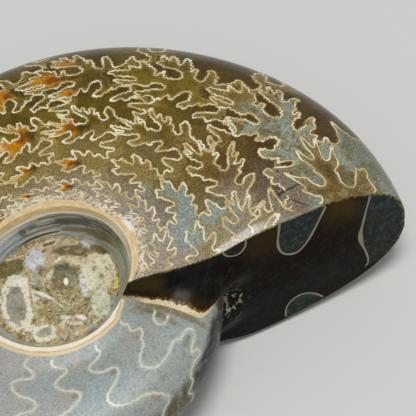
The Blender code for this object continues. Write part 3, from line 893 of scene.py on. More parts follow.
ahead, behind, chamber = chamberFields()
ringSpan = (inward - ringOuter(turnOf)) / (ringInner(turnOf) - ringOuter(turnOf))
seamTens = fromSeam(turnOf) / 10
values = {
    "sutureGap": np.where(behind < ahead, behind, -ahead),       # positive just in front of a suture
    "chamber": chamber,
    "chamberWay": behind / (behind + ahead),                     # 0 at its back suture, 1 at its front one
    "inward": inward, "ringSpan": ringSpan, "seamTens": seamTens, "pastRing": ringOuter(turnOf) - inward,
    "innerDepth": rowInner[row], "seamRun": seamRun, "edgeRun": edgeRun, "endFill": endFillField(),
    "side": sideOf.astype(float), "turn": turnOf, "flowAcross": -turnOf / flow, "flowDown": downOf,
    "coilX": placeOf[:, 0] * 1000, "coilY": placeOf[:, 1] * 1000, "coilZ": placeOf[:, 2] * 1000,
}
places = {
    "bandPlace": (seamTens * 0.22, inward * 2.6, sideOf * 3.0),
    "streakPlace": (seamTens, np.clip(ringSpan, -1, 2) * 6, sideOf * 3.0),
    "flowPlace": (-turnOf / flow, downOf, sideOf * 0.5),
    "coilPlace": placeOf.T * 1000,
    "endPlace": (placeOf[:, 0] * 1000, placeOf[:, 2] * 1000, placeOf[:, 1] * 200),
}
mesh = skin.data
for name, field in values.items():
    cornerValues(mesh, name, field)
for name, field in places.items():
    cornerPlaces(mesh, name, np.stack(list(field), -1))


innerSpan = 0.5                                     # the umbilicus's finish begins half-way across the ring


def paintSkin(mesh):
    # gives each face the shell's finish, the ground end's or the umbilicus's
    first = np.zeros(len(mesh.polygons), int)
    mesh.polygons.foreach_get("loop_start", first)
    corners = [corner[first + i] for i in range(4)]
    onRing = np.array([kind == "ring" for kind, _, _ in rows])
    onFlank = np.logical_and.reduce([onRing[row[c]] for c in corners])
    ground = (np.minimum.reduce([column[c] for c in corners]) >= seamIndex) & onFlank
    within = (sum(ringSpan[c] for c in corners) / 4 > innerSpan) & ~ground
    mesh.polygons.foreach_set("material_index", (ground + 2 * within).astype(np.int32))


paintSkin(mesh)
print("skin faces", len(mesh.polygons))


def tint(code):
    # a colour code as the linear colour that a shader takes
    part = np.array([int(code[i:i + 2], 16) for i in (0, 2, 4)]) / 255
    part = np.where(part <= 0.04045, part / 12.92, ((part + 0.055) / 1.055) ** 2.4)
    return (*part, 1.0)


class Bench:
    # a node tree with short words for the nodes that the finishes use
    def __init__(self, nodeTree):
        self.tree = nodeTree

    def add(self, kind, values=(), **settings):
        made = self.tree.nodes.new("ShaderNode" + kind)
        for name, value in settings.items():
            setattr(made, name, value)
        for name, value in dict(values).items():
            self.feed(made.inputs[name], value)
        return made

    def feed(self, socket, value):
        if isinstance(value, bpy.types.NodeSocket):
            self.tree.links.new(value, socket)
        else:
            socket.default_value = value

    def math(self, operation, a, b=0.5, c=0.5):
        return self.add("Math", {0: a, 1: b, 2: c}, operation=operation).outputs[0]

    def times(self, first, *others):
        for other in others:
            first = self.math("MULTIPLY", first, other)
        return first

    def pushed(self, value, by, reach=1.0):
        return self.math("MULTIPLY_ADD", by, reach, value)

    def near(self, value, at, outer, inner):
        # high where the value comes near one figure
        return self.step(self.math("ABSOLUTE", self.math("SUBTRACT", value, at)), outer, inner)

    def step(self, value, low, high):
        return self.add("MapRange", {"Value": value, "From Min": low, "From Max": high},
                        interpolation_type="SMOOTHSTEP").outputs[0]

    def blend(self, mask, below, above):
        made = self.add("Mix", {"Factor": mask}, data_type="RGBA")
        self.feed(made.inputs[6], below)
        self.feed(made.inputs[7], above)
        return made.outputs[2]

    def over(self, ground, colour, *masks):
        # lays a colour over a ground where all the masks are high
        return self.blend(self.times(*masks), ground, colour)

    def read(self, name, output="Fac"):
        return self.add("Attribute", attribute_name=name).outputs[output]

    def noise(self, place, scale, detail=3.0, rough=0.55):
        values = {"Vector": place, "Scale": scale, "Detail": detail, "Roughness": rough}
        return self.add("TexNoise", values).outputs["Fac"]


def newGroup(name, inputs, outputs):
    tree = bpy.data.node_groups.new(name, "ShaderNodeTree")
    for label, kind, value in inputs:
        socket = tree.interface.new_socket(label, in_out="INPUT", socket_type=kind)
        socket.default_value = value
    for label, kind in outputs:
        tree.interface.new_socket(label, in_out="OUTPUT", socket_type=kind)
    return tree, tree.nodes.new("NodeGroupInput").outputs, tree.nodes.new("NodeGroupOutput").inputs


def softSpotGroup():
    # an oval patch, its edge pushed in and out by the fray that it is given
    tree, given, out = newGroup("softSpot", [(label, "NodeSocketFloat", value) for label, value in (
        ("Across", 0.0), ("Down", 0.0), ("Centre Across", 0.0), ("Centre Down", 0.0), ("Size Across", 1.0),
        ("Size Down", 1.0), ("Turned", 0.0), ("Fray", 0.0), ("Softness", 0.2), ("Strength", 1.0))],
        [("Mask", "NodeSocketFloat")])
    b = Bench(tree)
    u = b.math("SUBTRACT", given["Across"], given["Centre Across"])
    v = b.math("SUBTRACT", given["Down"], given["Centre Down"])
    c, s = b.math("COSINE", given["Turned"]), b.math("SINE", given["Turned"])
    along = b.math("DIVIDE", b.pushed(b.times(c, u), s, v), given["Size Across"])
    beside = b.math("DIVIDE", b.math("SUBTRACT", b.times(c, v), b.times(s, u)), given["Size Down"])
    length = b.math("SQRT", b.pushed(b.times(beside, beside), along, along))
    low, high = b.math("ADD", 1.0, given["Softness"]), b.math("SUBTRACT", 1.0, given["Softness"])
    mask = b.step(b.math("ADD", length, given["Fray"]), low, high)
    tree.links.new(b.times(mask, given["Strength"]), out["Mask"])
    return tree


def stoneGrainGroup():
    # fine speckle, slow clouds and stray flecks, in millimetres
    parts = {"Speckle": (2.6, 0.75, 0.38, 0.62), "Clouds": (0.14, 0.6, 0.36, 0.64),
             "Flecks": (2.0, 0.65, 0.62, 0.72)}
    tree, given, out = newGroup("stoneGrain", [("Place", "NodeSocketVector", (0, 0, 0))],
                                [(name, "NodeSocketFloat") for name in parts])
    b = Bench(tree)
    for name, (scale, rough, low, high) in parts.items():
        tree.links.new(b.step(b.noise(given["Place"], scale, 3.0, rough), low, high), out[name])
    return tree


softSpot, stoneGrain = softSpotGroup(), stoneGrainGroup()


def spot(b, place, fray, centre, size, turned=0.0, softness=0.2, strength=1.0):
    made = b.tree.nodes.new("ShaderNodeGroup")
    made.node_tree = softSpot
    values = (*place, *centre, *size, radians(turned), fray, softness, strength)
    for socket, value in zip(made.inputs, values):
        b.feed(socket, value)
    return made.outputs["Mask"]


def frayed(b, place, scale, reach, detail=4.0):
    return b.times(b.math("SUBTRACT", b.noise(place, scale, detail, 0.6), 0.5), reach)


def grain(b, place):
    made = b.tree.nodes.new("ShaderNodeGroup")
    made.node_tree = stoneGrain
    b.feed(made.inputs["Place"], place)
    return tuple(made.outputs[name] for name in ("Speckle", "Clouds", "Flecks"))


def laid(b, place, fray, ground, marks, within=None):
    # lays patches over a ground, one after another; each may keep to one side of the sutures
    for x, y, sizeX, sizeY, turned, soft, code, strength, *keep in marks:
        mask = spot(b, place, fray, (x, y), (sizeX, sizeY), turned, soft, strength)
        if keep and keep[0] in (within or {}):
            mask = b.times(mask, within[keep[0]])
        ground = b.blend(mask, ground, tint(code))
    return ground


# roughness, and the strength of the reflections
polish = {
    "shell": 0.13, "speckle": 0.05, "early": 0.20, "inside": 0.26, "end": 0.16, "endSpeckle": 0.08,
    "suture": 0.2, "shine": 0.3, "endShine": 0.05, "reliefStrength": 0.25, "reliefHeight": 0.0002,
}


def newFinish(name):
    material = bpy.data.materials.new(name)
    material.use_nodes = True
    return material, Bench(material.node_tree), material.node_tree.nodes["Principled BSDF"]


# patches on the last whorl: across and down as the suture is drawn, half sizes, degrees turned, softness,
# colour, strength, and where they keep to
flankMarks = [
    (-0.6, 0.68, 0.22, 0.13, 0, 0.5, "7a6a40", 0.8, None),
    (-0.45, 1.75, 0.9, 0.4, -10, 0.4, "8d806c", 0.9, None),
    (-0.75, 1.14, 0.2, 0.07, 0, 0.5, "8f8a6c", 0.6, None),
    (-1.0, 0.15, 0.6, 0.25, -20, 0.5, "7d8470", 0.7, None),
    (-0.8, 0.86, 0.16, 0.1, 0, 0.5, "5a4218", 0.6, None), (-1.2, 2.4, 0.6, 0.4, 0, 0.5, "7a6452", 0.5, None),
    (-3.6, 3.1, 0.5, 0.3, 0, 0.5, "9c855c", 0.5, None),
    (-7.4, 1.75, 0.6, 0.25, 0, 0.3, "3a2a08", 0.75, "front"),
    # these three pale beige and lilac patches by the ground end's edge are a painted sheen over the stone's
    # grey
    (-0.3, 3.0, 0.9, 0.9, 0, 0.5, "b3a890", 0.65, None), (0.3, 4.9, 1.5, 1.0, 0, 0.5, "b8ab9c", 0.7, None),
    (-1.8, 5.0, 1.2, 0.6, 0, 0.5, "aca294", 0.6, None),
    (-2.2, 3.9, 0.45, 0.28, 0, 0.5, "98a498", 0.75, "front"),
    (-1.5, 3.7, 0.6, 0.34, 0, 0.5, "9fada4", 0.8, "front"),
    (-0.8, 3.95, 0.65, 0.42, 10, 0.5, "a2b2aa", 0.85, "front"),
    (-0.2, 4.3, 0.55, 0.5, 0, 0.5, "a2b2aa", 0.85, None),
    (-0.5, 3.3, 0.65, 0.34, -10, 0.5, "9fada4", 0.8, "front"),
    (-0.7, 2.75, 0.34, 0.2, 0, 0.5, "98a498", 0.7, "front"),
    (-2.7, 4.5, 0.4, 0.28, 0, 0.5, "98a498", 0.6, "front"),
]
# amber shows through in the lobes well back from the ground end: gold at its tips, deep brown at its root
amberLeaves = [
    (-6.2, 2.66, 0.5, 0.34), (-6.75, 1.05, 0.5, 0.22), (-6.35, 0.57, 0.26, 0.13), (-6.2, 1.58, 0.28, 0.13),
    (-7.65, 1.1, 0.4, 0.26), (-7.65, 2.55, 0.52, 0.45), (-5.98, 3.95, 0.34, 0.2), (-7.65, 3.74, 0.4, 0.2),
    (-5.92, 5.22, 0.32, 0.22), (-7.95, 5.12, 0.25, 0.22),
]
amberTones = [
    (0.25, 1.2, 1.15, "755214", 0.8), (-0.35, 1.0, 1.05, "e6aa1c", 0.9), (-1.05, 0.5, 0.9, "efe0a8", 0.7),
    (0.0, 0.72, 0.85, "d88a00", 0.9), (0.42, 0.34, 0.45, "904400", 0.9), (1.05, 0.42, 0.4, "3a240a", 0.7),
]
amberMarks = [(x + shift * length, y, wide * length, tall * height, 0, 0.5, code, strength, "front")
              for x, y, length, height in amberLeaves for shift, wide, tall, code, strength in amberTones]
crackMarks = [
    (-0.64, 1.64, 0.28, 0.022, 76, 0.4, "3c2a20", 0.85), (-0.32, 1.55, 0.2, 0.016, -53, 0.4, "3c2a20", 0.8),
    (-0.66, 2.02, 0.1, 0.016, -20, 0.4, "3c2a20", 0.8), (-0.52, 1.9, 0.12, 0.014, 50, 0.4, "3c2a20", 0.7),
]
# the earlier whorl: the same, with its own colours
earlyMarks = [
    (-22.0, 1.2, 0.75, 0.55, 0, 0.5, "a0b6bc", 0.42), (-21.3, 1.4, 0.5, 0.5, 0, 0.5, "a0b6bc", 0.42),
    (-19.8, 2.1, 0.5, 0.5, 0, 0.5, "a0b6bc", 0.42), (-22.2, 3.0, 0.4, 0.4, 0, 0.5, "a0b6bc", 0.42),
    (-24.6, 0.9, 0.5, 0.4, 0, 0.5, "a2b4b6", 0.4), (-23.8, 2.3, 0.5, 0.4, 0, 0.5, "b3aaa0", 0.6),
    (-21.3, 2.9, 0.35, 0.35, 0, 0.5, "b3aaa2", 0.6), (-20.6, 1.5, 0.35, 0.35, 0, 0.5, "b3aaa2", 0.6),
    (-19.1, 2.7, 0.35, 0.35, 0, 0.5, "b3aaa2", 0.6), (-18.0, 2.9, 0.4, 0.4, 0, 0.5, "b3aaa2", 0.6),
    (-25.02, 1.9, 0.13, 1.0, 5, 0.5, "7c6f4c", 0.75), (-24.85, 2.6, 0.16, 0.5, -20, 0.5, "8d7d58", 0.6),
    (-25.3, 1.5, 0.12, 1.3, 0, 0.4, "8a7446", 0.8), (-23.0, 0.35, 0.16, 0.14, 30, 0.5, "9a7a5c", 0.6),
    (-22.35, 1.7, 0.13, 0.1, 0, 0.5, "96826a", 0.7), (-20.95, 1.55, 0.12, 0.08, 0, 0.5, "96826a", 0.7),
    (-24.6, 0.58, 0.25, 0.08, 0, 0.5, "8d8570", 0.6), (-24.6, -0.4, 1.7, 0.36, -4, 0.3, "22221a", 0.92),
    (-24.5, -0.35, 0.5, 0.25, 0, 0.4, "26383c", 0.7), (-23.4, -0.35, 0.7, 0.3, 0, 0.4, "6a6436", 0.8),
]
# the umbilicus's wall: tens of degrees from the seam, and mm in from the rim; its greys and pale patches are
# lightened past the stone's own to make up for the shade on the wall, which is painted light
wallMarks = [
    (18.0, 3.6, 3.6, 2.8, 0, 0.5, "b0b4b4", 0.9), (3.0, 3.5, 3.2, 3.0, 0, 0.5, "a3a68e", 0.9),
    (2.2, 2.2, 1.8, 0.45, 0, 0.4, "c2c2b0", 0.8), (2.8, 4.4, 2.2, 0.35, 0, 0.4, "6f7766", 0.8),
    (5.4, 3.4, 1.3, 1.6, 0, 0.5, "7a7558", 0.8), (7.0, 4.8, 1.8, 0.9, 0, 0.4, "5f5230", 0.8),
    (10.0, 3.0, 4.5, 1.1, 0, 0.35, "4a4b40", 0.85), (11.4, 2.3, 2.4, 0.3, 0, 0.3, "b5ab8c", 0.7),
    (9.6, 4.8, 1.8, 0.5, 0, 0.35, "7d5a30", 0.8), (12.6, 2.8, 0.9, 0.5, 0, 0.4, "c9c6b6", 0.8),
    (13.6, 5.1, 2.4, 0.28, 0, 0.25, "352f1c", 0.9), (13.6, 4.72, 2.2, 0.1, 0, 0.3, "dccfa4", 0.8),
    (13.6, 5.52, 2.5, 0.14, 0, 0.3, "dccfa4", 0.85), (13.4, 4.2, 2.0, 0.12, 0, 0.3, "6a5a34", 0.8),
    (13.0, 3.75, 1.8, 0.1, 0, 0.3, "c5b890", 0.7), (14.9, 3.2, 0.35, 1.0, 0, 0.4, "5a543c", 0.7),
    (17.5, 2.3, 2.0, 0.35, 0, 0.4, "dcdad2", 0.7), (34.0, 4.0, 1.3, 3.0, 0, 0.4, "b3bfb8", 0.8),
    (32.3, 3.5, 0.5, 2.8, 0, 0.4, "6f6a4c", 0.8), (33.1, 3.5, 0.35, 2.8, 0, 0.4, "cfd2c4", 0.7),
    (31.2, 3.0, 0.9, 2.4, 0, 0.5, "d8c79a", 0.8), (30.2, 3.0, 0.4, 2.4, 0, 0.4, "b58e54", 0.8),
    (28.8, 3.0, 1.2, 2.4, 0, 0.5, "d3cba6", 0.8), (25.0, 3.0, 3.0, 2.2, 0, 0.5, "b8bcb0", 0.8),
]
shell = {
    # the lilac is partly a painted reflection of the bright room, over the stone's own lilac-grey
    "olive": "8c7418", "darkOlive": "64500a", "taupe": "a08848", "paleTaupe": "b0a07c", "lilacSheen": "b4a690",
    "keelZone": "46370c", "brown": "785a1c", "paleBrown": "907638", "saddle": "3a2604",
    "besideLine": "c0ae70", "blueGrey": "a6ab98", "speckledTan": "86784c", "lastBrown": "7c6230",
    "lastTan": "9c8a5c", "goldFleck": "b39648", "earlyGrey": "a8afa6", "earlyLilac": "b2b0a8",
    # the ring's tan, streak and pale are lightened past the stone's own colours, standing in for painted
    # highlight
    "earlyKeel": "5c574a", "paleFleck": "e6e4d2", "brownFleck": "5f5335", "ringTan": "dfbe88",
    "ringStreak": "f3e2ba", "ringPaleAndHighlight": "fbeed4", "ringLine": "a87c4c", "ringOutside": "e0cba0",
    # the wall's two greys are lightened to make up for the shade that falls on the wall: painted light
    "whiteCorner": "f4f0e4", "wall": "8c8c76", "wallGrey": "a5a8a2", "wallDark": "4c4630", "floor": "ab9660",
    "floorDark": "524420", "pit": "2c2410", "floorPale": "e2dabc", "khaki": "a89a70", "dust": "0c0802",
    "foam": "f0e8d2",
}


def coloursOf(palette):
    return {name: tint(code) for name, code in palette.items()}


# how the last whorl's ground changes with the way down from the keel
# the lilac band next to the ring is partly a painted reflection
flankZones = [("taupe", 2.3, 3.5), ("paleTaupe", 3.8, 5.0), ("lilacSheen", 4.9, 5.9), ("keelZone", 0.25, -0.15)]
amberAgain = -9.2                                   # the amber comes again this far back


def flankColour(b, flowPlace, down, flowX, gap, clouds, flecks):
    colour = coloursOf(shell)
    fray = frayed(b, flowPlace, 4.0, 1.1)
    chamber, way = b.read("chamber"), b.read("chamberWay")
    wander = b.pushed(down, fray, 0.9)
    ground = b.blend(clouds, colour["darkOlive"], colour["olive"])
    for name, low, high in flankZones:
        ground = b.over(ground, colour[name], b.step(wander, low, high))
    brown = b.blend(clouds, colour["brown"], colour["paleBrown"])
    ground = b.over(ground, brown, b.step(b.pushed(flowX, fray, 1.5), -4.0, -2.6), b.step(wander, 3.6, 2.5))
    # the last chambers before the ground end: blue-grey, then speckled brown
    patchy = b.step(b.noise(flowPlace, 5.0, 4.0, 0.7), 0.44, 0.62)
    high = b.times(b.step(wander, 2.3, 1.6), b.step(b.pushed(flowX, fray), -3.0, -2.2),
                   b.step(b.pushed(down, fray, 0.4), -0.45, -0.05))
    blue = b.blend(patchy, colour["blueGrey"], colour["speckledTan"])
    ground = b.over(ground, blue, b.step(chamber, 2.45, 2.55), high)
    last = b.blend(patchy, colour["lastBrown"], colour["lastTan"])
    ground = b.over(ground, last, b.step(chamber, 3.45, 3.55), high)
    ground = laid(b, (flowX, down), fray, ground, flankMarks, {"front": b.step(way, 0.75, 0.45)})
    # each chamber darkens towards the suture in front of it
    deep = b.pushed(0.40, b.step(flowX, -5.0, -3.0), 0.30)
    shallow = b.pushed(b.times(b.step(down, 6.0, 4.0), 0.5), b.step(down, 2.1, 1.5), 0.5)
    ground = b.over(ground, colour["saddle"], b.step(way, 0.35, 0.85), deep, shallow, b.step(gap, 0.0, -0.05),
                    b.step(chamber, 2.55, 2.45))
    # the amber, which fades farther back
    again = b.math("LESS_THAN", flowX, amberAgain)
    amberX = b.pushed(flowX, again, 2 * suture["spacing"])
    lobes = b.times(b.step(gap, 0.005, 0.05), b.step(flowX, -13.5, -11.5), b.step(way, 0.85, 0.6))
    ground = laid(b, (amberX, down), fray, ground, amberMarks, {"front": lobes})
    ground = b.over(ground, colour["besideLine"], b.step(gap, 0.08, 0.0), b.step(gap, -0.04, 0.0), 0.40)
    ground = b.over(ground, colour["goldFleck"], flecks, 0.35)
    return laid(b, (flowX, down), b.times(fray, 0.35), ground, crackMarks)


def earlyColour(b, flowPlace, down, flowX, gap, flecks):
    colour = coloursOf(shell)
    fray = frayed(b, flowPlace, 2.6, 1.4)
    ground = b.blend(b.step(b.pushed(flowX, fray), -21.0, -19.5), colour["earlyGrey"], colour["earlyLilac"])
    ground = b.over(ground, colour["earlyKeel"], b.step(b.pushed(down, fray, 0.3), 0.15, -0.25))
    ground = laid(b, (flowX, down), fray, ground, earlyMarks)
    mottle = b.noise(flowPlace, 7.0, 3.0, 0.65)
    ground = b.over(ground, colour["earlyLilac"], b.step(mottle, 0.50, 0.66), 0.35)
    ground = b.over(ground, colour["brownFleck"], b.step(mottle, 0.44, 0.34), 0.35)
    ground = b.over(ground, colour["brownFleck"], flecks, 0.30)
    return b.over(ground, colour["paleFleck"], b.step(gap, 0.13, 0.0), b.step(gap, -0.13, 0.0), 0.35)


def ringColour(b, span, inward, fromSeamTens, speckle):
    # tan with streaks that run round, its colours lightened for painted highlight, and a painted highlight
    # along its inner edge
    colour = coloursOf(shell)
    streak = b.noise(b.read("streakPlace", "Vector"), 1.3, 3.0, 0.6)
    upper = b.over(colour["ringTan"], colour["ringStreak"], b.step(streak, 0.42, 0.62), 0.6)
    # painted highlight along the ring's inner edge
    upper = b.over(upper, colour["ringPaleAndHighlight"], b.step(span, 0.80, 0.95))
    besideSeam = b.times(b.step(fromSeamTens, 7.5, 5.5), b.step(inward, -0.6, 0.6))
    upper = b.over(upper, colour["ringPaleAndHighlight"], besideSeam, 0.8)
    streaky = b.pushed(span, streak, 0.3)
    # the lower ring's inner half is a painted highlight
    lower = b.blend(b.step(streaky, 0.50, 0.72), colour["ringOutside"], colour["ringPaleAndHighlight"])
    lower = b.over(lower, colour["ringLine"], b.near(streaky, 0.62, 0.09, 0.02), 0.7)
    ground = b.blend(b.step(fromSeamTens, 21.0, 25.0), upper, lower)
    whiteCorner = b.near(fromSeamTens, 4.9, 0.8, 0.4)
    ground = b.over(ground, colour["whiteCorner"], whiteCorner, b.step(inward, -0.9, -1.6))
    return b.over(ground, colour["ringLine"], speckle, 0.12)


def umbilicusColour(b, place, fromSeamTens, inward, depth, upper, clouds):
    colour = coloursOf(shell)
    fray = frayed(b, place, 0.9, 1.0, 6.0)
    # the wall's greys are lightened against the shade that falls there: painted light
    wall = b.blend(clouds, colour["wall"], colour["wallGrey"])
    wall = laid(b, (fromSeamTens, inward), fray, wall, wallMarks)
    # growth lines run round the wall
    bands = b.noise(b.read("bandPlace", "Vector"), 1.0, 5.0, 0.7)
    wall = b.over(wall, colour["wallDark"], b.step(bands, 0.48, 0.36), 0.75)
    wall = b.over(wall, colour["floorPale"], b.step(bands, 0.55, 0.66), 0.55)
    pits, grit = b.noise(place, 1.5, 5.0, 0.75), b.noise(place, 2.6, 3.0, 0.7)
    floor = b.blend(b.step(b.noise(place, 0.7, 4.0, 0.65), 0.42, 0.60), colour["floor"], colour["khaki"])
    floor = b.over(floor, colour["floorDark"], b.step(pits, 0.49, 0.62), 0.75)
    floor = b.over(floor, colour["floorPale"], b.step(pits, 0.43, 0.34), 0.70)
    floor = b.over(floor, colour["floorPale"], b.near(b.noise(place, 0.8, 3.0, 0.6), 0.5, 0.022, 0.008), 0.6)
    marks = [mark[:8] for mark in floorMarks]
    marked = laid(b, (b.read("coilX"), b.read("coilY")), fray, floor, marks)
    floor = b.over(floor, marked, upper)
    floor = b.over(floor, colour["floorDark"], b.step(pits, 0.51, 0.62), 0.50)
    floor = b.over(floor, colour["pit"], b.step(grit, 0.56, 0.66), 0.45)
    floor = b.over(floor, colour["floorPale"], b.step(pits, 0.43, 0.35), 0.45)
    wall = b.over(wall, colour["pit"], b.step(grit, 0.55, 0.66), 0.30)
    return b.blend(b.step(b.pushed(depth, fray, 0.12), 0.80, 0.90), wall, floor)


def ringOver(b, ground, place, span, inward, fromSeamTens, speckle):
    edge = frayed(b, place, 0.8, 0.5)
    outer = b.step(b.pushed(span, edge, 0.6), -0.06, 0.06)
    inner = b.step(b.pushed(span, edge, 0.2), 1.05, 0.97)
    return b.over(ground, ringColour(b, span, inward, fromSeamTens, speckle), outer, inner)


def shellFinish():
    material, b, shader = newFinish("polishedShell")
    place, flowPlace = b.read("coilPlace", "Vector"), b.read("flowPlace", "Vector")
    inward, gap, span, pastRing = (b.read(name) for name in ("inward", "sutureGap", "ringSpan", "pastRing"))
    flowX, down, fromSeamTens = (b.read(name) for name in ("flowAcross", "flowDown", "seamTens"))
    speckle, clouds, flecks = grain(b, place)
    last = flankColour(b, flowPlace, down, flowX, gap, clouds, flecks)
    early = earlyColour(b, flowPlace, down, flowX, gap, flecks)
    isEarly = b.step(b.pushed(flowX, frayed(b, flowPlace, 1.2, 1.0)), -15.5, -17.5)
    ground = b.blend(isEarly, last, early)
    ground = b.over(ground, tint(shell["dust"]), speckle, b.pushed(0.50, isEarly, -0.24))
    # pale crowded loops outside the ring, over its upper part
    foam = b.times(b.step(pastRing, 1.9, 0.2), b.step(b.noise(place, 1.5, 4.0, 0.65), 0.46, 0.56))
    upperPart = b.times(b.step(fromSeamTens, 0.5, 2.0), b.step(fromSeamTens, 21.0, 18.0))
    ground = b.over(ground, tint(shell["foam"]), foam, upperPart, 0.75)
    b.feed(shader.inputs["Base Color"], ringOver(b, ground, place, span, inward, fromSeamTens, speckle))
    rough = b.pushed(polish["shell"], speckle, polish["speckle"])
    b.feed(shader.inputs["Roughness"], b.pushed(rough, isEarly, polish["early"]))
    shader.inputs["Specular IOR Level"].default_value = polish["shine"]
    return material


def umbilicusFinish():
    material, b, shader = newFinish("umbilicusStone")
    place = b.read("coilPlace", "Vector")
    inward, span, fromSeamTens = (b.read(name) for name in ("inward", "ringSpan", "seamTens"))
    depth, side = b.read("innerDepth"), b.read("side")
    speckle, clouds, _ = grain(b, place)
    ground = umbilicusColour(b, place, fromSeamTens, inward, depth, b.step(side, -0.5, 0.5), clouds)
    b.feed(shader.inputs["Base Color"], ringOver(b, ground, place, span, inward, fromSeamTens, speckle))
    inside = b.step(inward, 2.0, 6.5)
    rough = b.pushed(polish["shell"], speckle, polish["speckle"])
    b.feed(shader.inputs["Roughness"], b.pushed(rough, inside, polish["inside"]))
    shader.inputs["Specular IOR Level"].default_value = polish["shine"]
    height = b.times(b.noise(place, 1.6, 4.0), inside)
    given = {"Strength": polish["reliefStrength"], "Distance": polish["reliefHeight"], "Height": height}
    relief = b.add("Bump", given)
    b.feed(shader.inputs["Normal"], relief.outputs[0])
    return material


# the ground end: across and height in mm
endMarks = [
    (38.0, 4.0, 14.0, 7.5, 0, 0.5, "1a1006", 0.9), (35.0, 9.0, 3.5, 3.5, 0, 0.5, "38270e", 0.85),
    (15.0, 9.5, 3.0, 3.5, 0, 0.5, "453818", 0.85), (49.0, 7.5, 3.0, 3.5, 0, 0.5, "4a3510", 0.85),
    (48.5, 1.5, 3.2, 5.5, 10, 0.5, "1e1306", 0.7), (56.5, 2.0, 4.2, 8.0, 0, 0.4, "323830", 0.85),
    (57.5, -5.5, 2.5, 3.0, 0, 0.5, "36280e", 0.8), (57.6, 3.8, 1.8, 2.2, 0, 0.5, "42504c", 0.8),
    (46.0, -10.0, 9.0, 2.0, 0, 0.5, "241a0c", 0.8), (30.0, 2.0, 4.0, 3.0, 0, 0.5, "1c140a", 0.8),
]
endShades = {
    # the gold beside the seam is partly painted light
    "stone": "16191a", "stonePale": "1f221d", "cream": "f0dfb4", "gold": "8a6a38", "brown": "33230f",
    "halfLoop": "2c2818", "largeLoop": "3a443e", "rightOf": "363c36", "speckled": "a89f84",
    "edgeLine": "a8935c", "frill": "9a957c", "paleMottle": "34332a", "darkMottle": "0c0b08",
    "fillPale": "55605c",
}
seamBand = {"cream": 1.05, "gold": 1.8, "brown": 3.4}   # mm from the seam


def seamColour(b, ground, flat, x, z, run, speckle):
    # cream, gold and brown beside the seam, as far as its outer end; the gold that fades to brown away from
    # the seam is partly painted light, where the hollow turns up to the lamp
    colour = coloursOf(endShades)
    band = b.pushed(run, frayed(b, flat, 1.1, 1.0), 1.8)
    # partly painted light: gold near the seam, darker brown away from it
    brown = b.blend(b.step(band, seamBand["cream"] + 0.3, seamBand["gold"]), colour["gold"], colour["brown"])
    beside = b.blend(b.step(band, seamBand["gold"], seamBand["brown"]), brown, ground)
    beside = b.over(beside, colour["brown"], b.step(band, 4.5, 1.5), b.step(speckle, 0.4, 0.75))
    cream = b.over(colour["cream"], colour["gold"], speckle, 0.35)
    outer = b.times(b.step(x, 28.0, 25.5), b.step(z, 2.5, 4.0))
    ground = b.over(ground, beside, outer)
    return b.over(ground, cream, outer, b.step(band, seamBand["cream"] + 0.12, seamBand["cream"] - 0.12))


def endFinish():
    material, b, shader = newFinish("groundEnd")
    fill, x, z, flat = b.read("endFill"), b.read("coilX"), b.read("coilZ"), b.read("endPlace", "Vector")
    speckle, clouds, flecks = grain(b, b.read("coilPlace", "Vector"))
    colour = coloursOf(endShades)
    fray = frayed(b, flat, 0.5, 0.9)
    ground = laid(b, (x, z), fray, b.blend(clouds, colour["stone"], colour["stonePale"]), endMarks)
    mottle = b.noise(flat, 0.9, 5.0, 0.75)
    ground = b.over(ground, colour["paleMottle"], b.step(mottle, 0.50, 0.66), 0.45)
    ground = b.over(ground, colour["darkMottle"], b.step(mottle, 0.46, 0.34), 0.5)
    # the stone inside each line
    filled = b.step(fill, -0.05, 0.1)
    stone = b.blend(b.step(x, 48.0, 50.0), colour["largeLoop"], colour["rightOf"])
    stone = b.over(stone, colour["halfLoop"], b.step(x, 35.0, 33.0))
    stone = b.over(stone, colour["stone"], b.step(mottle, 0.42, 0.6), 0.6)
    ground = b.over(ground, stone, filled, 0.8)
    ground = b.over(ground, colour["fillPale"], filled, b.step(mottle, 0.45, 0.36), 0.5)
    ground = seamColour(b, ground, flat, x, z, b.read("seamRun"), speckle)
    ground = b.over(ground, colour["speckled"], flecks, speckle, 0.16)
    # pale frills beside the seam's outer end, and gold specks along the upper edge
    frill = spot(b, (x, z), fray, (28.2, -1.9), (2.4, 2.4), 0, 0.5)
    ground = b.over(ground, colour["frill"], frill, b.step(b.noise(flat, 0.9, 3.0, 0.6), 0.5, 0.6))
    gold = b.step(b.noise(flat, 1.2, 3.0, 0.6), 0.42, 0.58)
    ground = b.over(ground, colour["edgeLine"], b.step(b.read("edgeRun"), 0.9, 0.1), gold, 0.5)
    b.feed(shader.inputs["Base Color"], ground)
    b.feed(shader.inputs["Roughness"], b.pushed(polish["end"], speckle, polish["endSpeckle"]))
    shader.inputs["Specular IOR Level"].default_value = polish["endShine"]
    return material


sutureShades = {"tan": "cfb47c", "cream": "f2e8c6", "early": "d4d3bf", "onEnd": "8f866b", "brown": "8c7548"}


def sutureFinish():
    material, b, shader = newFinish("sutureCream")
    place, colour = b.read("coilPlace", "Vector"), coloursOf(sutureShades)
    ground = b.blend(b.step(b.noise(place, 0.5, 3.0), 0.38, 0.62), colour["tan"], colour["cream"])
    ground = b.over(ground, colour["early"], b.step(b.read("turn"), 3.5, 4.1))
    ground = b.over(ground, colour["onEnd"], b.step(b.read("onEnd"), 0.4, 0.6))
    ground = b.over(ground, colour["brown"], b.step(b.noise(place, 2.5, 2.0), 0.5, 0.7), 0.3)
    b.feed(shader.inputs["Base Color"], ground)
    shader.inputs["Roughness"].default_value = polish["suture"]
    shader.inputs["Specular IOR Level"].default_value = polish["shine"]
    return material


smoothBelow = 40                                    # degrees between faces that still shade as one surface
joinWithin = {"skin": 2e-7, "inlay": 1e-9}


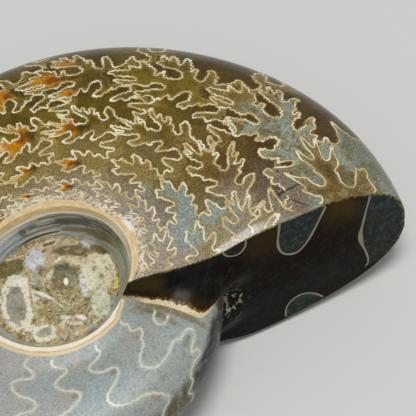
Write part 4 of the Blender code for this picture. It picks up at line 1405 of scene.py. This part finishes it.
def closeMesh(item, distance):
    clearSelection()
    item.select_set(True)
    bpy.context.view_layer.objects.active = item
    bpy.ops.object.mode_set(mode="EDIT")
    bpy.ops.mesh.select_all(action="SELECT")
    bpy.ops.mesh.remove_doubles(threshold=distance)
    bpy.ops.mesh.normals_make_consistent(inside=False)
    bpy.ops.object.mode_set(mode="OBJECT")
    bpy.ops.object.shade_smooth_by_angle(angle=radians(smoothBelow))


print("closing the skin")
for finish in (shellFinish, endFinish, umbilicusFinish):
    skin.data.materials.append(finish())
closeMesh(skin, joinWithin["skin"])
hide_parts("ammonite")
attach(skin, "root")


firstTurn = 0.6                                     # how far before the +X axis the whorl begins


def buildInlay():
    points, faces, onEnd = inlayMesh()
    mesh = bpy.data.meshes.new("sutureInlay")
    quads = np.concatenate([f for f in faces if f.shape[1] == 4])
    ends = np.concatenate([f for f in faces if f.shape[1] == 3])
    mesh.from_pydata(intoSolid(toRest(points)).tolist(), [], quads.tolist() + ends.tolist())
    item = bpy.data.objects.new("sutureInlay", mesh)
    bpy.context.scene.collection.objects.link(item)
    layer = mesh.attributes.new("coilPlace", "FLOAT_VECTOR", "POINT")
    layer.data.foreach_set("vector", (points * 1000).astype(np.float32).ravel())
    turns = np.mod(np.arctan2(points[:, 1], points[:, 0]) + firstTurn, 2 * pi) - firstTurn
    for name, values in (("turn", turns), ("onEnd", onEnd)):
        layer = mesh.attributes.new(name, "FLOAT", "POINT")
        layer.data.foreach_set("value", values.astype(np.float32))
    mesh.materials.append(sutureFinish())
    print("inlay faces", len(mesh.polygons))
    return item


print("laying in the sutures")
inlayPiece = buildInlay()
closeMesh(inlayPiece, joinWithin["inlay"])
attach(inlayPiece, "root")

print("floor, lamp and camera")
stage = {
    "floor": "d9d8d4", "floorSize": 3.0, "floorRoughness": 0.6, "world": "e9edf2", "worldStrength": 0.42,
    "lampPlace": (0.03, -0.03, 0.90), "lampSize": 0.35, "lampWatts": 4.5,
}
# the view in the coil's own frame, with its angles in radians
view = {
    "azimuth": 0.0362, "elevation": 1.0146, "roll": -0.205, "distance": 0.2458, "aim": (0.0268, 0.0121, 0.0),
    "lens": 121.15, "sensor": 36, "nearest": 0.01,
}


def buildFloor():
    clearSelection()
    bpy.ops.mesh.primitive_plane_add(size=stage["floorSize"])
    floor = bpy.context.active_object
    floor.name = "floor"
    material, _, shader = newFinish("paleFloor")
    shader.inputs["Base Color"].default_value = tint(stage["floor"])
    shader.inputs["Roughness"].default_value = stage["floorRoughness"]
    floor.data.materials.append(material)


def addLamp():
    clearSelection()
    place = Vector(stage["lampPlace"])
    bpy.ops.object.light_add(type="AREA", location=place)
    lamp = bpy.context.active_object
    lamp.name = "mainLamp"
    lamp.data.shape = "DISK"
    lamp.data.size = stage["lampSize"]
    lamp.data.energy = stage["lampWatts"]
    lamp.rotation_euler = (-place).to_track_quat("-Z", "Y").to_euler()


def buildCamera():
    a, e, roll = view["azimuth"], view["elevation"], view["roll"]
    back = np.array([sin(a) * cos(e), -cos(a) * cos(e), sin(e)])
    right = np.cross([0, 0, 1.0], back)
    right /= np.linalg.norm(right)
    up = np.cross(back, right)
    turnedRight, turnedUp = cos(roll) * right + sin(roll) * up, -sin(roll) * right + cos(roll) * up
    where = toRest(np.array(view["aim"]) + back * view["distance"])
    axes = [tipping @ axis for axis in (turnedRight, turnedUp, back)]
    matrix = Matrix([[*(axis[i] for axis in axes), where[i]] for i in range(3)] + [[0, 0, 0, 1]])
    clearSelection()
    bpy.ops.object.camera_add()
    camera = bpy.context.active_object
    camera.matrix_world = matrix
    camera.data.lens = view["lens"]
    camera.data.sensor_width = view["sensor"]
    camera.data.clip_start = view["nearest"]
    bpy.context.scene.camera = camera


def buildWorld():
    world = bpy.data.worlds.new("softRoom")
    bpy.context.scene.world = world
    world.use_nodes = True
    sky = world.node_tree.nodes["Background"]
    sky.inputs["Color"].default_value = tint(stage["world"])
    sky.inputs["Strength"].default_value = stage["worldStrength"]


buildFloor()
buildWorld()
addLamp()
buildCamera()
bpy.context.scene.view_settings.view_transform = "Standard"
